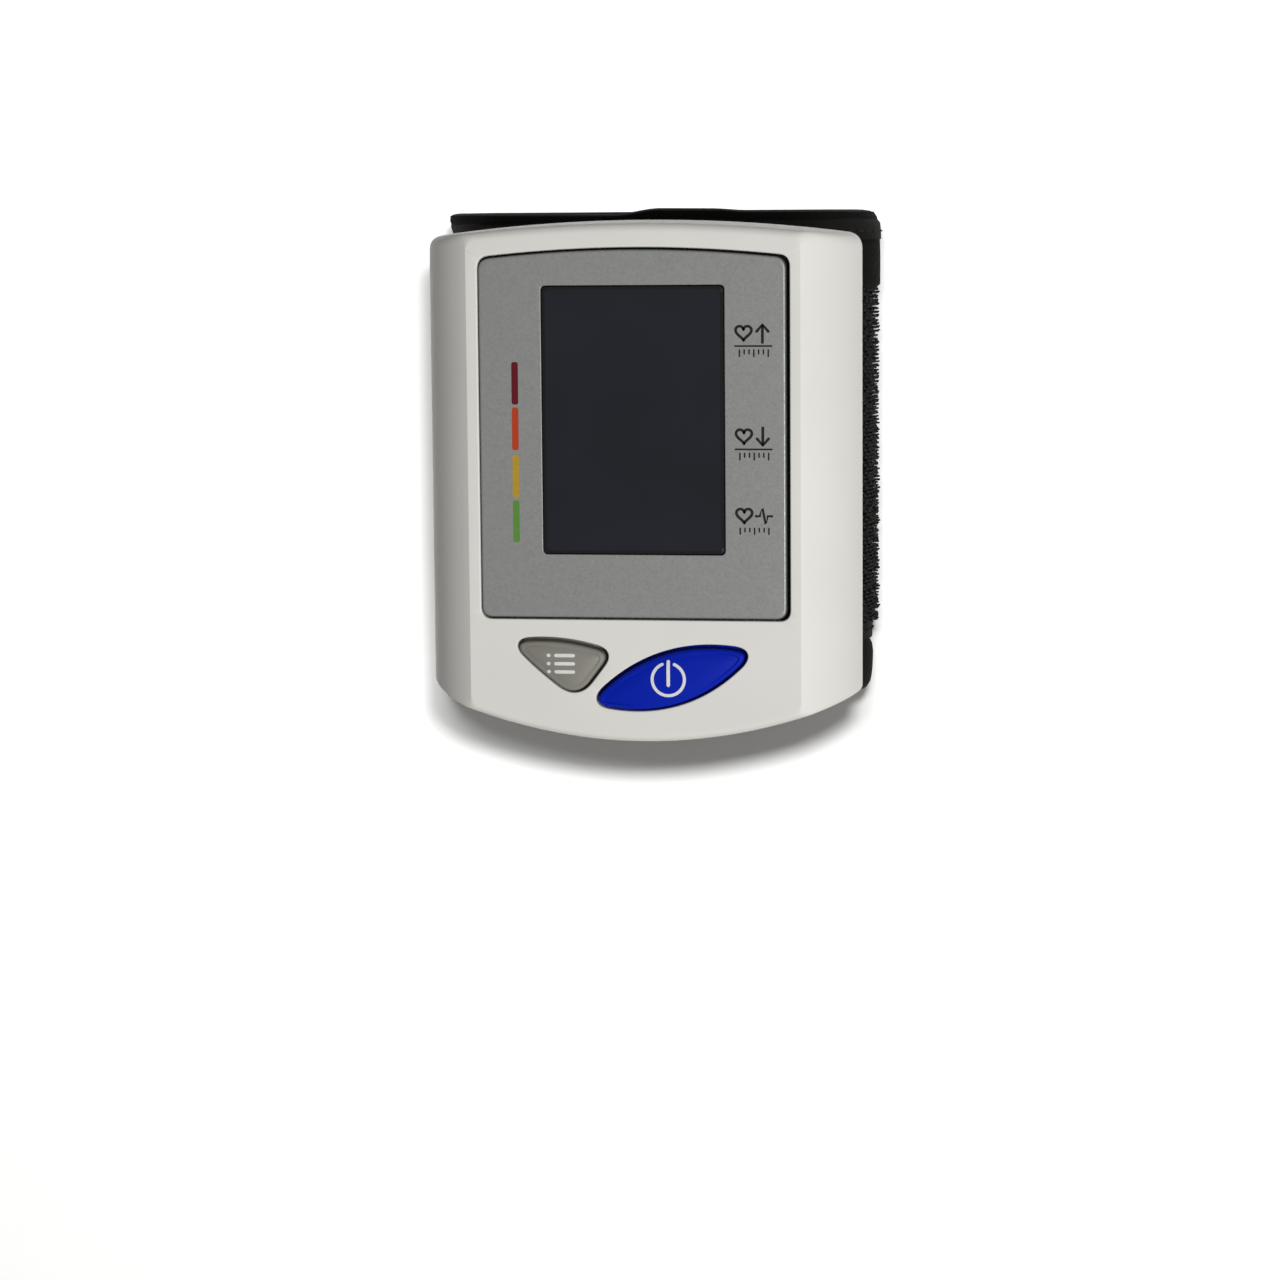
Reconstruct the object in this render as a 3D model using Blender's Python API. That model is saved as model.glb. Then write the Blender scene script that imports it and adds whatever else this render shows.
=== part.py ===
"""Wrist blood pressure monitor: moulded housing with its inner parts, on a wrap-around cuff.

Metres, +Z up. The monitor lies on its closed cuff with the display facing up:
+X is to the right of the display, +Y is towards its top edge. The origin lies on the flat
of the cuff that the monitor rests on, below the middle of the housing.
"""
import bmesh
import bpy
import math
from mathutils import Matrix, Vector

# Shared clearances
GAP = 0.0003                # between parts that touch
RUNNING_GAP = 0.0003        # around parts that slide
OVERRUN = 0.002             # how far a cutter passes a surface

# Wrist opening, an ellipse seen along Y
OPENING_HALF_WIDTH = 0.0320
OPENING_HALF_HEIGHT = 0.0195
OPENING_OFFSET_X = -0.0060  # the cuff bulges to the side of its long end
REST_FLAT_DEPTH = 0.0009    # the fabric is pressed flat where it rests

# Cuff band, from the skin outwards
CUFF_TOP_REACH = 0.0012     # the cuff stands out this far past the housing's top edge
CUFF_BOTTOM_SETBACK = 0.0002
LINING_THICKNESS = 0.0009
BLADDER_THICKNESS = 0.0016
FORMER_THICKNESS = 0.0009
COVER_THICKNESS = 0.0014
COVER_LIP_WIDTH = 0.0022
COVER_RECESS = 0.0002       # the lining tucks this far into the strap's cover
BLADDER_MARGIN = 0.0040     # sewn margin beside the bladder and the former
HOOK_TAPE_THICKNESS = 0.0010
HOOK_TAPE_TOP_MARGIN = 0.0112
HOOK_TAPE_BOTTOM_MARGIN = 0.0108
BAND_STEP = math.radians(5.0)
SHORT_END_ANGLE = math.radians(-70.0)
SHORT_HEM_ANGLE = math.radians(-65.0)
LAYERS_START_ANGLE = math.radians(-60.0)
LAYERS_END_ANGLE = math.radians(205.0)
STRAP_START_ANGLE = math.radians(210.0)
STRAP_OUTSIDE_ANGLE = math.radians(275.0)
FLAP_ROOT_ANGLE = math.radians(300.0)
FLAP_TIP_ANGLE = math.radians(335.0)
HOOK_TAPE_START_ANGLE = math.radians(-55.0)
HOOK_TAPE_END_ANGLE = math.radians(20.0)
FLAP_CORNER = 0.0090

# Housing, in plan
CASE_HALF_WIDTH = 0.0340
CASE_BEYOND_NOZZLE = 0.0100 # from the air nozzle to the top edge
CASE_TOP_ARCH = 0.0024      # rise of the arched top edge over the full width
CASE_BOTTOM_ARCH = 0.0076
CASE_TOP_CORNER = 0.0024
CASE_BOTTOM_CORNER = 0.0030
CREASE_INSET = 0.0077       # the flat front lies between two long creases
CREASE_CORNER = 0.0014

# Housing, in height
CASE_DEPTH = 0.0270         # over the crown of the cuff
FRONT_DROP = 0.0136         # from the front down to the parting line
REAR_DEPTH = 0.0210         # from the parting line down to the rim
PARTING_GAP = 0.0003
CREASE_SLOPE = math.radians(28.0)
FLANK_LOWER_PULL = 0.0075
FLANK_UPPER_PULL = 0.0045
EDGE_FILLET = 0.0015
REAR_EDGE_FILLET = 0.0024
REAR_TAPER = 0.0034
REAR_SHADOW_STEP = 0.0002   # the rear shell is this much smaller at the parting line
WALL = 0.0018
FRONT_WALL = 0.0026
REAR_WALL = 0.0020
FLOOR_WALL = 0.0016
LIP_HEIGHT = 0.0018
LIP_WIDTH = 0.0010
LIP_ROOT = 0.0014

# Face panel, display and buttons
PANEL_LEFT_MARGIN = 0.0019  # from the crease
PANEL_RIGHT_MARGIN = 0.00225
PANEL_TOP_MARGIN = 0.0042   # from the housing's top edge
PANEL_BOTTOM_MARGIN = 0.0188
PANEL_ARCH = 0.0014
PANEL_CORNER = 0.0018
PANEL_THICKNESS = 0.0011
PANEL_INSET = 0.0001        # the plate lies this far below the front
PANEL_GAP_NARROW = 0.0003   # along its left and bottom edges
PANEL_GAP_WIDE = 0.0007     # along its right and top edges
PANEL_EDGE = 0.0002
WINDOW_SIDE_MARGIN = 0.0120 # from the crease
WINDOW_TOP_MARGIN = 0.0059  # from the panel's top edge
WINDOW_HEIGHT = 0.0424
WINDOW_CORNER = 0.0008
WINDOW_SEAM = 0.00015
WINDOW_LEDGE = 0.0010
LCD_SIDE_MARGIN = 0.0017    # the glass is this much larger than the window
LCD_END_MARGIN = 0.0018
LCD_THICKNESS = 0.0024
LCD_SEAL_THICKNESS = 0.0008
LCD_FRAME_WALL = 0.0017
LCD_CORNER = 0.0010
BUTTON_TRAVEL = 0.0008
BUTTON_PROUD = 0.0003
BUTTON_EDGE = 0.0006
BUTTON_FLANGE = 0.0009
BUTTON_FLANGE_THICKNESS = 0.0012
BUTTON_HOLE_GAP = 0.0005
BUTTON_HOLE_SHIFT = (0.00012, 0.00020)
# The buttons' corners and middles, measured from the panel's bottom edge
MEMORY_CORNERS = ((-0.0192, -0.0027), (-0.0101, -0.0131), (-0.0035, -0.0044))
MEMORY_BULGES = (0.0004, 0.0000, 0.0010)
MEMORY_CUTBACKS = (0.0026, 0.0034, 0.0022)
MEMORY_MIDDLE = (-0.0108, -0.0062)
POWER_CORNERS = ((-0.0072, -0.0131), (0.0188, -0.0037))
POWER_BULGES = (0.0044, 0.0041)
POWER_CUTBACKS = (0.0024, 0.0024)
POWER_MIDDLE = (0.0060, -0.0084)
STEM_RADIUS = 0.0016
SWITCH_SIDE = 0.0060
SWITCH_HEIGHT = 0.0034
SWITCH_WALL = 0.0011
PLUNGER_RADIUS = 0.0016
PLUNGER_LENGTH = 0.0022

# Main board and what is soldered to it
BOARD_SIDE_INSET = 0.0116   # from the housing's side, top and bottom
BOARD_TOP_INSET = 0.0065
BOARD_BOTTOM_INSET = 0.0075
BOARD_THICKNESS = 0.0012
BOARD_CORNER = 0.0040
BOARD_ABOVE_PARTING = 0.0018
PROCESSOR_SIDE = 0.0100
PROCESSOR_HEIGHT = 0.0014
CHIP_CLEARANCE = 0.0008
CRYSTAL_RADIUS = 0.0015
CRYSTAL_LENGTH = 0.0060
CRYSTAL_CLEARANCE = 0.0023  # from the inside of the display's frame
BUZZER_RADIUS = 0.0045
BUZZER_HEIGHT = 0.0030
BUZZER_HOLE_RADIUS = 0.0010
BUZZER_CLEARANCE = 0.0017   # from the display's frame
BUZZER_EDGE_CLEARANCE = 0.0004
SENSOR_SIZE = (0.0075, 0.0075, 0.0030)
SENSOR_PORT_RADIUS = 0.0013
SENSOR_PORT_LENGTH = 0.0024
SENSOR_SETBACK = 0.0010     # it lies over the manifold, clear of the battery bay

# Battery bay in the left side of the rear shell, two AAA cells
CELL_RADIUS = 0.00515
CELL_LENGTH = 0.0445
CELL_NUB_RADIUS = 0.0019
CELL_NUB_LENGTH = 0.0010
CELL_EDGE = 0.0004
CELL_PITCH = 0.0108
CELL_WALL_CLEARANCE = 0.0008
CELL_BELOW_PARTING = 0.0066
BAY_CLEARANCE = 0.0004
BAY_WALL = 0.0012
SPRING_HEIGHT = 0.0024      # pressed together by the cell
CONTACT_THICKNESS = 0.0004
CONTACT_SIDE = 0.0084
SPRING_WIRE_RADIUS = 0.0002
SPRING_BASE_RADIUS = 0.0030
SPRING_TIP_RADIUS = 0.0017
SPRING_TURNS = 2.5
SPRING_POINTS_PER_TURN = 12
DOOR_HEIGHT = 0.0112
DOOR_WALL = 0.0016
DOOR_MARGIN = 0.0010        # the opening is this much shorter than the bay at each end
DOOR_GRIP_COUNT = 5
DOOR_GRIP_PITCH = 0.0014
DOOR_GRIP_DEPTH = 0.0003
DOOR_GRIP_WIDTH = 0.0006
DOOR_GRIP_LENGTH = 0.0100

# Air system
MOTOR_RADIUS = 0.0065
MOTOR_LENGTH = 0.0200
MOTOR_BOSS_RADIUS = 0.0025
MOTOR_BOSS_LENGTH = 0.0010
PUMP_SIDE_INSET = 0.0170    # from the housing's right side
PUMP_BELOW_PARTING = 0.0066
MOTOR_REAR_Y = -0.0220
PUMP_HEAD_SIDE = 0.0140
PUMP_HEAD_LENGTH = 0.0120
PUMP_HEAD_EDGE = 0.0016
BARB_RADIUS = 0.0012
BARB_LENGTH = 0.0020
NOZZLE_CLEARANCE = 0.0007   # from the battery bay to the manifold on the nozzle
NOZZLE_RADIUS = 0.0021
NOZZLE_BORE_RADIUS = 0.0010
NOZZLE_FLANGE_RADIUS = 0.0040
NOZZLE_TOP_RISE = 0.0022    # above the floor of the rear shell
MANIFOLD_SIZE = (0.0080, 0.0090, 0.0060)
VALVE_SIZE = (0.0080, 0.0100, 0.0080)
VALVE_SIDE_INSET = 0.0155   # from the housing's right side
HOSE_RADIUS = 0.0015
HOSE_STEP = 0.0016
HOSE_PULL_SHARE = 0.33
SENSOR_HOSE_PULL = 0.0042   # two thirds of the distance between its ends

# Fasteners
SCREW_RADIUS = 0.0011
SCREW_HEAD_RADIUS = 0.0020
SCREW_HEAD_HEIGHT = 0.0014
SCREW_ENGAGEMENT = 0.0055
SCREW_SEAT_CLEARANCE = 0.0007
SCREW_CLEARANCE = 0.0003
DRIVE_DEPTH = 0.0007
DRIVE_WIDTH = 0.0006
DRIVE_SPAN = 0.0024
BOSS_RADIUS = 0.0029
BOSS_INSET_X = 0.0080
BOSS_INSET_TOP = 0.0090
BOSS_INSET_BOTTOM = 0.0135  # the lower bosses stand at the end of the battery bay

ROUND_SEGMENTS = 24
SMALL_SEGMENTS = 16
FLANK_SHARES = (0.0, 0.16, 0.32, 0.48, 0.62, 0.74, 0.83, 0.90, 0.95, 0.98, 1.0)

# Plan places that follow from the sizes above
BAY_LENGTH = CELL_LENGTH + SPRING_HEIGHT + 2 * CONTACT_THICKNESS + 5 * GAP
NOZZLE_Y = BAY_LENGTH / 2 + BAY_WALL + NOZZLE_CLEARANCE + MANIFOLD_SIZE[1] / 2
CASE_TOP_Y = NOZZLE_Y + CASE_BEYOND_NOZZLE
CASE_BOTTOM_Y = -(BAY_LENGTH / 2 + BOSS_RADIUS + BOSS_INSET_BOTTOM)
CREASE_HALF_WIDTH = CASE_HALF_WIDTH - CREASE_INSET
CUFF_TOP_Y = CASE_TOP_Y + CUFF_TOP_REACH
CUFF_BOTTOM_Y = CASE_BOTTOM_Y + CUFF_BOTTOM_SETBACK
HOOK_TAPE_TOP_Y = CUFF_TOP_Y - HOOK_TAPE_TOP_MARGIN
HOOK_TAPE_BOTTOM_Y = CUFF_BOTTOM_Y + HOOK_TAPE_BOTTOM_MARGIN
PANEL_LEFT_X = -(CREASE_HALF_WIDTH - PANEL_LEFT_MARGIN)
PANEL_RIGHT_X = CREASE_HALF_WIDTH - PANEL_RIGHT_MARGIN
PANEL_TOP_Y = CASE_TOP_Y - PANEL_TOP_MARGIN
PANEL_BOTTOM_Y = CASE_BOTTOM_Y + PANEL_BOTTOM_MARGIN
WINDOW_WIDTH = 2 * (CREASE_HALF_WIDTH - WINDOW_SIDE_MARGIN)
WINDOW_CENTRE_Y = PANEL_TOP_Y - WINDOW_TOP_MARGIN - WINDOW_HEIGHT / 2
LCD_WIDTH = WINDOW_WIDTH + 2 * LCD_SIDE_MARGIN
LCD_HEIGHT = WINDOW_HEIGHT + 2 * LCD_END_MARGIN
LCD_FRAME_BOTTOM_Y = WINDOW_CENTRE_Y - LCD_HEIGHT / 2 - GAP - LCD_FRAME_WALL
MEMORY_CENTRE = (MEMORY_MIDDLE[0], PANEL_BOTTOM_Y + MEMORY_MIDDLE[1])
POWER_CENTRE = (POWER_MIDDLE[0], PANEL_BOTTOM_Y + POWER_MIDDLE[1])
BOARD_HALF_WIDTH = CASE_HALF_WIDTH - BOARD_SIDE_INSET
BOARD_TOP_Y = CASE_TOP_Y - BOARD_TOP_INSET
BOARD_BOTTOM_Y = CASE_BOTTOM_Y + BOARD_BOTTOM_INSET
PROCESSOR_CENTRE = (0.0, WINDOW_CENTRE_Y)
CRYSTAL_CENTRE = (LCD_WIDTH / 2 - LCD_FRAME_WALL - CRYSTAL_CLEARANCE - CRYSTAL_LENGTH / 2,
                  WINDOW_CENTRE_Y - PROCESSOR_SIDE / 2 - CHIP_CLEARANCE - CRYSTAL_RADIUS)
BUZZER_CENTRE = (BOARD_HALF_WIDTH - BUZZER_EDGE_CLEARANCE - BUZZER_RADIUS,
                 LCD_FRAME_BOTTOM_Y - BUZZER_CLEARANCE - BUZZER_RADIUS)
SENSOR_CENTRE = (OPENING_OFFSET_X, NOZZLE_Y - SENSOR_SETBACK)
SENSOR_HOSE_Y = NOZZLE_Y - MANIFOLD_SIZE[1] / 3
PUMP_X = CASE_HALF_WIDTH - PUMP_SIDE_INSET
VALVE_CENTRE = (CASE_HALF_WIDTH - VALVE_SIDE_INSET, NOZZLE_Y - GAP)

# Heights that follow from the sizes above
BAND_THICKNESS = (LINING_THICKNESS + GAP + BLADDER_THICKNESS + GAP + FORMER_THICKNESS + GAP
                  + COVER_THICKNESS)
STRAP_INNER = BAND_THICKNESS + GAP + HOOK_TAPE_THICKNESS + GAP
STRAP_THICKNESS = LINING_THICKNESS + GAP + COVER_RECESS + COVER_THICKNESS
OPENING_CENTRE_Z = STRAP_INNER + STRAP_THICKNESS + OPENING_HALF_HEIGHT - REST_FLAT_DEPTH
CROWN_Z = OPENING_CENTRE_Z + OPENING_HALF_HEIGHT + BAND_THICKNESS + GAP
FRONT_Z = CROWN_Z + CASE_DEPTH
PARTING_Z = FRONT_Z - FRONT_DROP
RIM_Z = PARTING_Z - REAR_DEPTH
FRONT_INNER_Z = FRONT_Z - FRONT_WALL
PANEL_TOP_Z = FRONT_Z - PANEL_INSET
PANEL_BOTTOM_Z = PANEL_TOP_Z - PANEL_THICKNESS
BOARD_BOTTOM_Z = PARTING_Z + BOARD_ABOVE_PARTING
BOARD_TOP_Z = BOARD_BOTTOM_Z + BOARD_THICKNESS
FLOOR_Z = CROWN_Z + FLOOR_WALL
CELL_Z = PARTING_Z - CELL_BELOW_PARTING
PUMP_Z = PARTING_Z - PUMP_BELOW_PARTING

MATERIALS = {
    # name: (red, green, blue, roughness, metallic)
    "white_abs": (0.80, 0.79, 0.76, 0.42, 0.0),
    "silver_panel": (0.27, 0.27, 0.26, 0.45, 0.6),
    "tinted_window": (0.02, 0.022, 0.028, 0.12, 0.0),
    "grey_button": (0.19, 0.18, 0.16, 0.5, 0.0),
    "blue_button": (0.001, 0.012, 0.30, 0.4, 0.0),
    "black_fabric": (0.010, 0.010, 0.010, 0.9, 0.0),
    "hook_tape": (0.008, 0.008, 0.008, 0.7, 0.0),
    "bladder_film": (0.25, 0.24, 0.22, 0.5, 0.0),
    "former_plastic": (0.55, 0.55, 0.52, 0.5, 0.0),
    "lcd_glass": (0.30, 0.33, 0.30, 0.1, 0.0),
    "natural_abs": (0.62, 0.61, 0.57, 0.5, 0.0),
    "circuit_board": (0.02, 0.16, 0.06, 0.5, 0.0),
    "black_resin": (0.015, 0.015, 0.016, 0.4, 0.0),
    "steel": (0.55, 0.55, 0.54, 0.35, 1.0),
    "nickel": (0.60, 0.58, 0.53, 0.25, 1.0),
    "silicone": (0.55, 0.52, 0.45, 0.5, 0.0),
    "cell_wrap": (0.05, 0.06, 0.08, 0.35, 0.2),
}


# Scene helpers

def clear_scene():
    for thing in list(bpy.data.objects):
        bpy.data.objects.remove(thing, do_unlink=True)


def surface_material(name):
    found = bpy.data.materials.get(name)
    if found:
        return found
    red, green, blue, roughness, metallic = MATERIALS[name]
    made = bpy.data.materials.new(name)
    made.use_nodes = True
    shader = made.node_tree.nodes["Principled BSDF"]
    shader.inputs["Base Color"].default_value = (red, green, blue, 1.0)
    shader.inputs["Roughness"].default_value = roughness
    shader.inputs["Metallic"].default_value = metallic
    return made


def add_object(name, mesh, material=None, smooth_angle=math.radians(35.0)):
    """Put a mesh in the scene; without a material it is a cutter and stays hidden."""
    made = bpy.data.objects.new(name, mesh)
    bpy.context.scene.collection.objects.link(made)
    if material is None:
        made.hide_render = True
        made.display_type = 'WIRE'
    else:
        mesh.materials.append(surface_material(material))
        mesh.shade_smooth()
        mesh.set_sharp_from_angle(angle=smooth_angle)
    return made


def mesh_from(name, points, faces):
    built = bmesh.new()
    made = [built.verts.new(point) for point in points]
    for face in faces:
        built.faces.new([made[index] for index in face])
    bmesh.ops.recalc_face_normals(built, faces=built.faces)
    mesh = bpy.data.meshes.new(name)
    built.to_mesh(mesh)
    built.free()
    return mesh


def loft(name, rings, material=None, closed=False):
    """Skin a row of rings with as many points each; capped, or joined end to end."""
    count = len(rings[0])
    points = [point for ring in rings for point in ring]
    faces = []
    pairs = len(rings) if closed else len(rings) - 1
    for row in range(pairs):
        here, there = row * count, ((row + 1) % len(rings)) * count
        for step in range(count):
            after = (step + 1) % count
            faces.append((here + step, here + after, there + after, there + step))
    if not closed:
        faces.append(tuple(range(count)))
        faces.append(tuple((len(rings) - 1) * count + step for step in range(count)))
    return add_object(name, mesh_from(name, points, faces), material)


def level(outline, height):
    return [(x, y, height) for x, y in outline]


def prism(name, outline, bottom, top, material=None):
    return loft(name, [level(outline, bottom), level(outline, top)], material)


def block(name, centre, size, material=None):
    """A box from its centre and its three side lengths."""
    x, y, z = centre
    half_x, half_y, half_z = (side / 2 for side in size)
    outline = [(x - half_x, y - half_y), (x + half_x, y - half_y),
               (x + half_x, y + half_y), (x - half_x, y + half_y)]
    return prism(name, outline, z - half_z, z + half_z, material)


def turned(name, profile, centre, axis, material=None, segments=ROUND_SEGMENTS):
    """Revolve (radius, distance) points about an axis through centre."""
    along = Vector(axis).normalized()
    side = along.orthogonal().normalized()
    other = along.cross(side)
    origin = Vector(centre)
    rings = []
    for radius, distance in profile:
        ring = []
        for step in range(segments):
            turn = math.tau * step / segments
            spoke = side * math.cos(turn) + other * math.sin(turn)
            ring.append(tuple(origin + along * distance + spoke * radius))
        rings.append(ring)
    return loft(name, rings, material)


def place_origin(thing, point):
    """Give a moving piece its origin on its joint's axis, without moving the piece."""
    thing.data.transform(Matrix.Translation(-Vector(point)))
    thing.location = point


def boolean(target, tool, operation='DIFFERENCE'):
    step = target.modifiers.new(f"{operation.lower()}_{tool.name}", 'BOOLEAN')
    step.operation = operation
    step.solver = 'EXACT'
    step.object = tool
    return target


# Plan outlines

def circle(centre, radius, segments=ROUND_SEGMENTS):
    return [(centre[0] + radius * math.cos(math.tau * step / segments),
             centre[1] + radius * math.sin(math.tau * step / segments))
            for step in range(segments)]


def rounded_shape(corners, bulges, cutbacks, edge_steps=10, corner_steps=6):
    """Outline with a curved edge from each corner to the next and softened corners.

    A bulge is how far the middle of an edge stands out; a cutback is how far from its
    corner an edge gives way to the corner's own curve.
    """
    count = len(corners)

    def on_edge(index, share):
        start, end = Vector(corners[index]), Vector(corners[(index + 1) % count])
        run = end - start
        outward = Vector((run.y, -run.x)).normalized()
        return start + run * share + outward * (4 * bulges[index] * share * (1 - share))

    outline = []
    for index in range(count):
        following = (index + 1) % count
        length = (Vector(corners[following]) - Vector(corners[index])).length
        first, last = cutbacks[index] / length, 1 - cutbacks[following] / length
        for step in range(edge_steps + 1):
            outline.append(on_edge(index, first + (last - first) * step / edge_steps))
        next_length = (Vector(corners[(following + 1) % count]) - Vector(corners[following])).length
        start = outline[-1]
        end = on_edge(following, cutbacks[following] / next_length)
        tip = Vector(corners[following])
        for step in range(1, corner_steps):
            share = step / corner_steps
            outline.append(start * (1 - share) ** 2 + tip * 2 * share * (1 - share) + end * share ** 2)
    return [tuple(point) for point in outline]


def offset_outline(outline, distance):
    """Move an anticlockwise outline outwards by a distance."""
    count = len(outline)
    moved = []
    for index in range(count):
        before, here, after = (Vector(outline[(index + shift) % count]) for shift in (-1, 0, 1))
        edge_in, edge_out = (here - before).normalized(), (after - here).normalized()
        normal_in = Vector((edge_in.y, -edge_in.x))
        normal_out = Vector((edge_out.y, -edge_out.x))
        mitre = (normal_in + normal_out).normalized()
        moved.append(tuple(here + mitre * (distance / max(mitre.dot(normal_in), 0.5))))
    return moved


def shifted(outline, shift):
    return [(x + shift[0], y + shift[1]) for x, y in outline]


def rounded_rectangle(centre, width, height, corner):
    left, right = centre[0] - width / 2, centre[0] + width / 2
    low, high = centre[1] - height / 2, centre[1] + height / 2
    return rounded_shape([(left, low), (right, low), (right, high), (left, high)],
                         [0.0] * 4, [corner] * 4, edge_steps=1, corner_steps=5)


def case_outline(half_width, inset, corner_share):
    """The housing seen from the front at one height, for instance at a crease or the rim.

    corner_share runs from 0 at the parting line, with full corners, to 1 at the front.
    """
    top_fall = CASE_TOP_ARCH * (half_width / CASE_HALF_WIDTH) ** 2
    bottom_rise = CASE_BOTTOM_ARCH * (half_width / CASE_HALF_WIDTH) ** 2
    top, bottom = CASE_TOP_Y - inset - top_fall, CASE_BOTTOM_Y + inset + bottom_rise
    top_corner = CASE_TOP_CORNER + (CREASE_CORNER - CASE_TOP_CORNER) * corner_share
    bottom_corner = CASE_BOTTOM_CORNER + (CREASE_CORNER - CASE_BOTTOM_CORNER) * corner_share
    return rounded_shape([(-half_width, bottom), (half_width, bottom),
                          (half_width, top), (-half_width, top)],
                         [bottom_rise, 0.0, top_fall, 0.0],
                         [bottom_corner, bottom_corner, top_corner, top_corner],
                         edge_steps=12, corner_steps=6)


# Band geometry

def ellipse_point(angle, distance, y):
    """A point a given distance outside the wrist opening, never below the resting plane."""
    outward = Vector((math.cos(angle) / OPENING_HALF_WIDTH, 0.0,
                      math.sin(angle) / OPENING_HALF_HEIGHT)).normalized()
    point = Vector((OPENING_OFFSET_X + OPENING_HALF_WIDTH * math.cos(angle), y,
                    OPENING_CENTRE_Z + OPENING_HALF_HEIGHT * math.sin(angle)))
    point += outward * distance
    return (point.x, y, max(point.z, 0.0))


def smooth_step(value, start, end):
    share = min(max((value - start) / (end - start), 0.0), 1.0)
    return share * share * (3 - 2 * share)


def strap_shift(angle):
    """How far the band has moved outwards on its way to lie over its own short end."""
    return STRAP_INNER * smooth_step(angle, STRAP_START_ANGLE, STRAP_OUTSIDE_ANGLE)


def angles_between(start, end):
    steps = max(1, round((end - start) / BAND_STEP))
    return [start + (end - start) * step / steps for step in range(steps + 1)]


def band(name, angles, section, material=None):
    """Sweep a section of (y, distance) points round the wrist opening."""
    rings = [[ellipse_point(angle, distance, y) for y, distance in section(angle)]
             for angle in angles]
    return loft(name, rings, material)


def flat_section(bottom_y, top_y, inner, outer):
    return [(bottom_y, inner), (bottom_y, outer), (top_y, outer), (top_y, inner)]


def cover_section(angle):
    """U-shaped section: the outer fabric turned in over both edges of the band."""
    shift = strap_shift(angle)
    lip = LINING_THICKNESS + GAP + shift
    outer = BAND_THICKNESS + (STRAP_INNER + STRAP_THICKNESS - BAND_THICKNESS) * shift / STRAP_INNER
    web = outer - COVER_THICKNESS
    if angle < SHORT_HEM_ANGLE + BAND_STEP / 2:
        web = lip + COVER_RECESS
    return [(CUFF_BOTTOM_Y, lip), (CUFF_BOTTOM_Y, outer), (CUFF_TOP_Y, outer), (CUFF_TOP_Y, lip),
            (CUFF_TOP_Y - COVER_LIP_WIDTH, lip), (CUFF_TOP_Y - COVER_LIP_WIDTH, web),
            (CUFF_BOTTOM_Y + COVER_LIP_WIDTH, web), (CUFF_BOTTOM_Y + COVER_LIP_WIDTH, lip)]


def crown_cylinder(name, distance):
    """Cutter with the outline of the band, a given distance outside the wrist opening."""
    turns = angles_between(0.0, math.tau)[:-1]
    rings = [[ellipse_point(angle, distance, y) for angle in turns]
             for y in (CASE_BOTTOM_Y - OVERRUN, CASE_TOP_Y + OVERRUN)]
    return loft(name, rings)


# Cuff

def make_cuff():
    inner_bottom = CUFF_BOTTOM_Y + BLADDER_MARGIN
    inner_top = CUFF_TOP_Y - BLADDER_MARGIN
    bladder_inner = LINING_THICKNESS + GAP
    former_inner = bladder_inner + BLADDER_THICKNESS + GAP
    whole = angles_between(SHORT_END_ANGLE, FLAP_ROOT_ANGLE)
    layered = angles_between(LAYERS_START_ANGLE, LAYERS_END_ANGLE)

    band("cuff_lining", whole,
         lambda angle: flat_section(CUFF_BOTTOM_Y, CUFF_TOP_Y, strap_shift(angle),
                                    strap_shift(angle) + LINING_THICKNESS), "black_fabric")
    band("air_bladder", layered,
         lambda angle: flat_section(inner_bottom, inner_top, bladder_inner,
                                    bladder_inner + BLADDER_THICKNESS), "bladder_film")
    former = band("cuff_former", layered,
                  lambda angle: flat_section(inner_bottom, inner_top, former_inner,
                                             former_inner + FORMER_THICKNESS), "former_plastic")
    cover = band("cuff_cover", whole, cover_section, "black_fabric")

    crown = (OPENING_OFFSET_X, NOZZLE_Y)
    hole_bottom, hole_top = CROWN_Z - BAND_THICKNESS, FLOOR_Z
    boolean(former, prism("former_port", circle(crown, NOZZLE_FLANGE_RADIUS + GAP),
                          hole_bottom, hole_top))
    boolean(cover, prism("cover_port", circle(crown, NOZZLE_RADIUS + GAP), hole_bottom, hole_top))

    tape_inner = BAND_THICKNESS + GAP
    band("hook_tape", angles_between(HOOK_TAPE_START_ANGLE, HOOK_TAPE_END_ANGLE),
         lambda angle: flat_section(HOOK_TAPE_BOTTOM_Y, HOOK_TAPE_TOP_Y, tape_inner,
                                    tape_inner + HOOK_TAPE_THICKNESS), "hook_tape")


def flap_edges(angle):
    """The long end's lower and upper edge; its tip has two rounded corners."""
    radius = OPENING_HALF_WIDTH + STRAP_INNER
    left = (FLAP_TIP_ANGLE - angle) * radius
    round_in = 0.0
    if left < FLAP_CORNER:
        round_in = FLAP_CORNER - math.sqrt(FLAP_CORNER ** 2 - (FLAP_CORNER - left) ** 2)
    return CUFF_BOTTOM_Y + round_in, CUFF_TOP_Y - round_in


def make_flap():
    """The free long end beyond the bend: it peels off the hook tape."""
    root = FLAP_ROOT_ANGLE + GAP / (OPENING_HALF_WIDTH + STRAP_INNER)
    angles = angles_between(root, FLAP_TIP_ANGLE)
    last_step = (angles[-1] - angles[-2]) / 4
    angles[-1:-1] = [angles[-1] - 2 * last_step, angles[-1] - last_step]
    lining_outer = STRAP_INNER + LINING_THICKNESS

    def lining(angle):
        bottom, top = flap_edges(angle)
        return flat_section(bottom, top, STRAP_INNER, lining_outer)

    def cover(angle):
        bottom, top = flap_edges(angle)
        return flat_section(bottom, top, lining_outer + GAP, STRAP_INNER + STRAP_THICKNESS)

    hinge = ellipse_point(FLAP_ROOT_ANGLE, STRAP_INNER + STRAP_THICKNESS, 0.0)
    place_origin(band("flap_lining", angles, lining, "black_fabric"), hinge)
    place_origin(band("flap_cover", angles, cover, "black_fabric"), hinge)


# Housing

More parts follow.
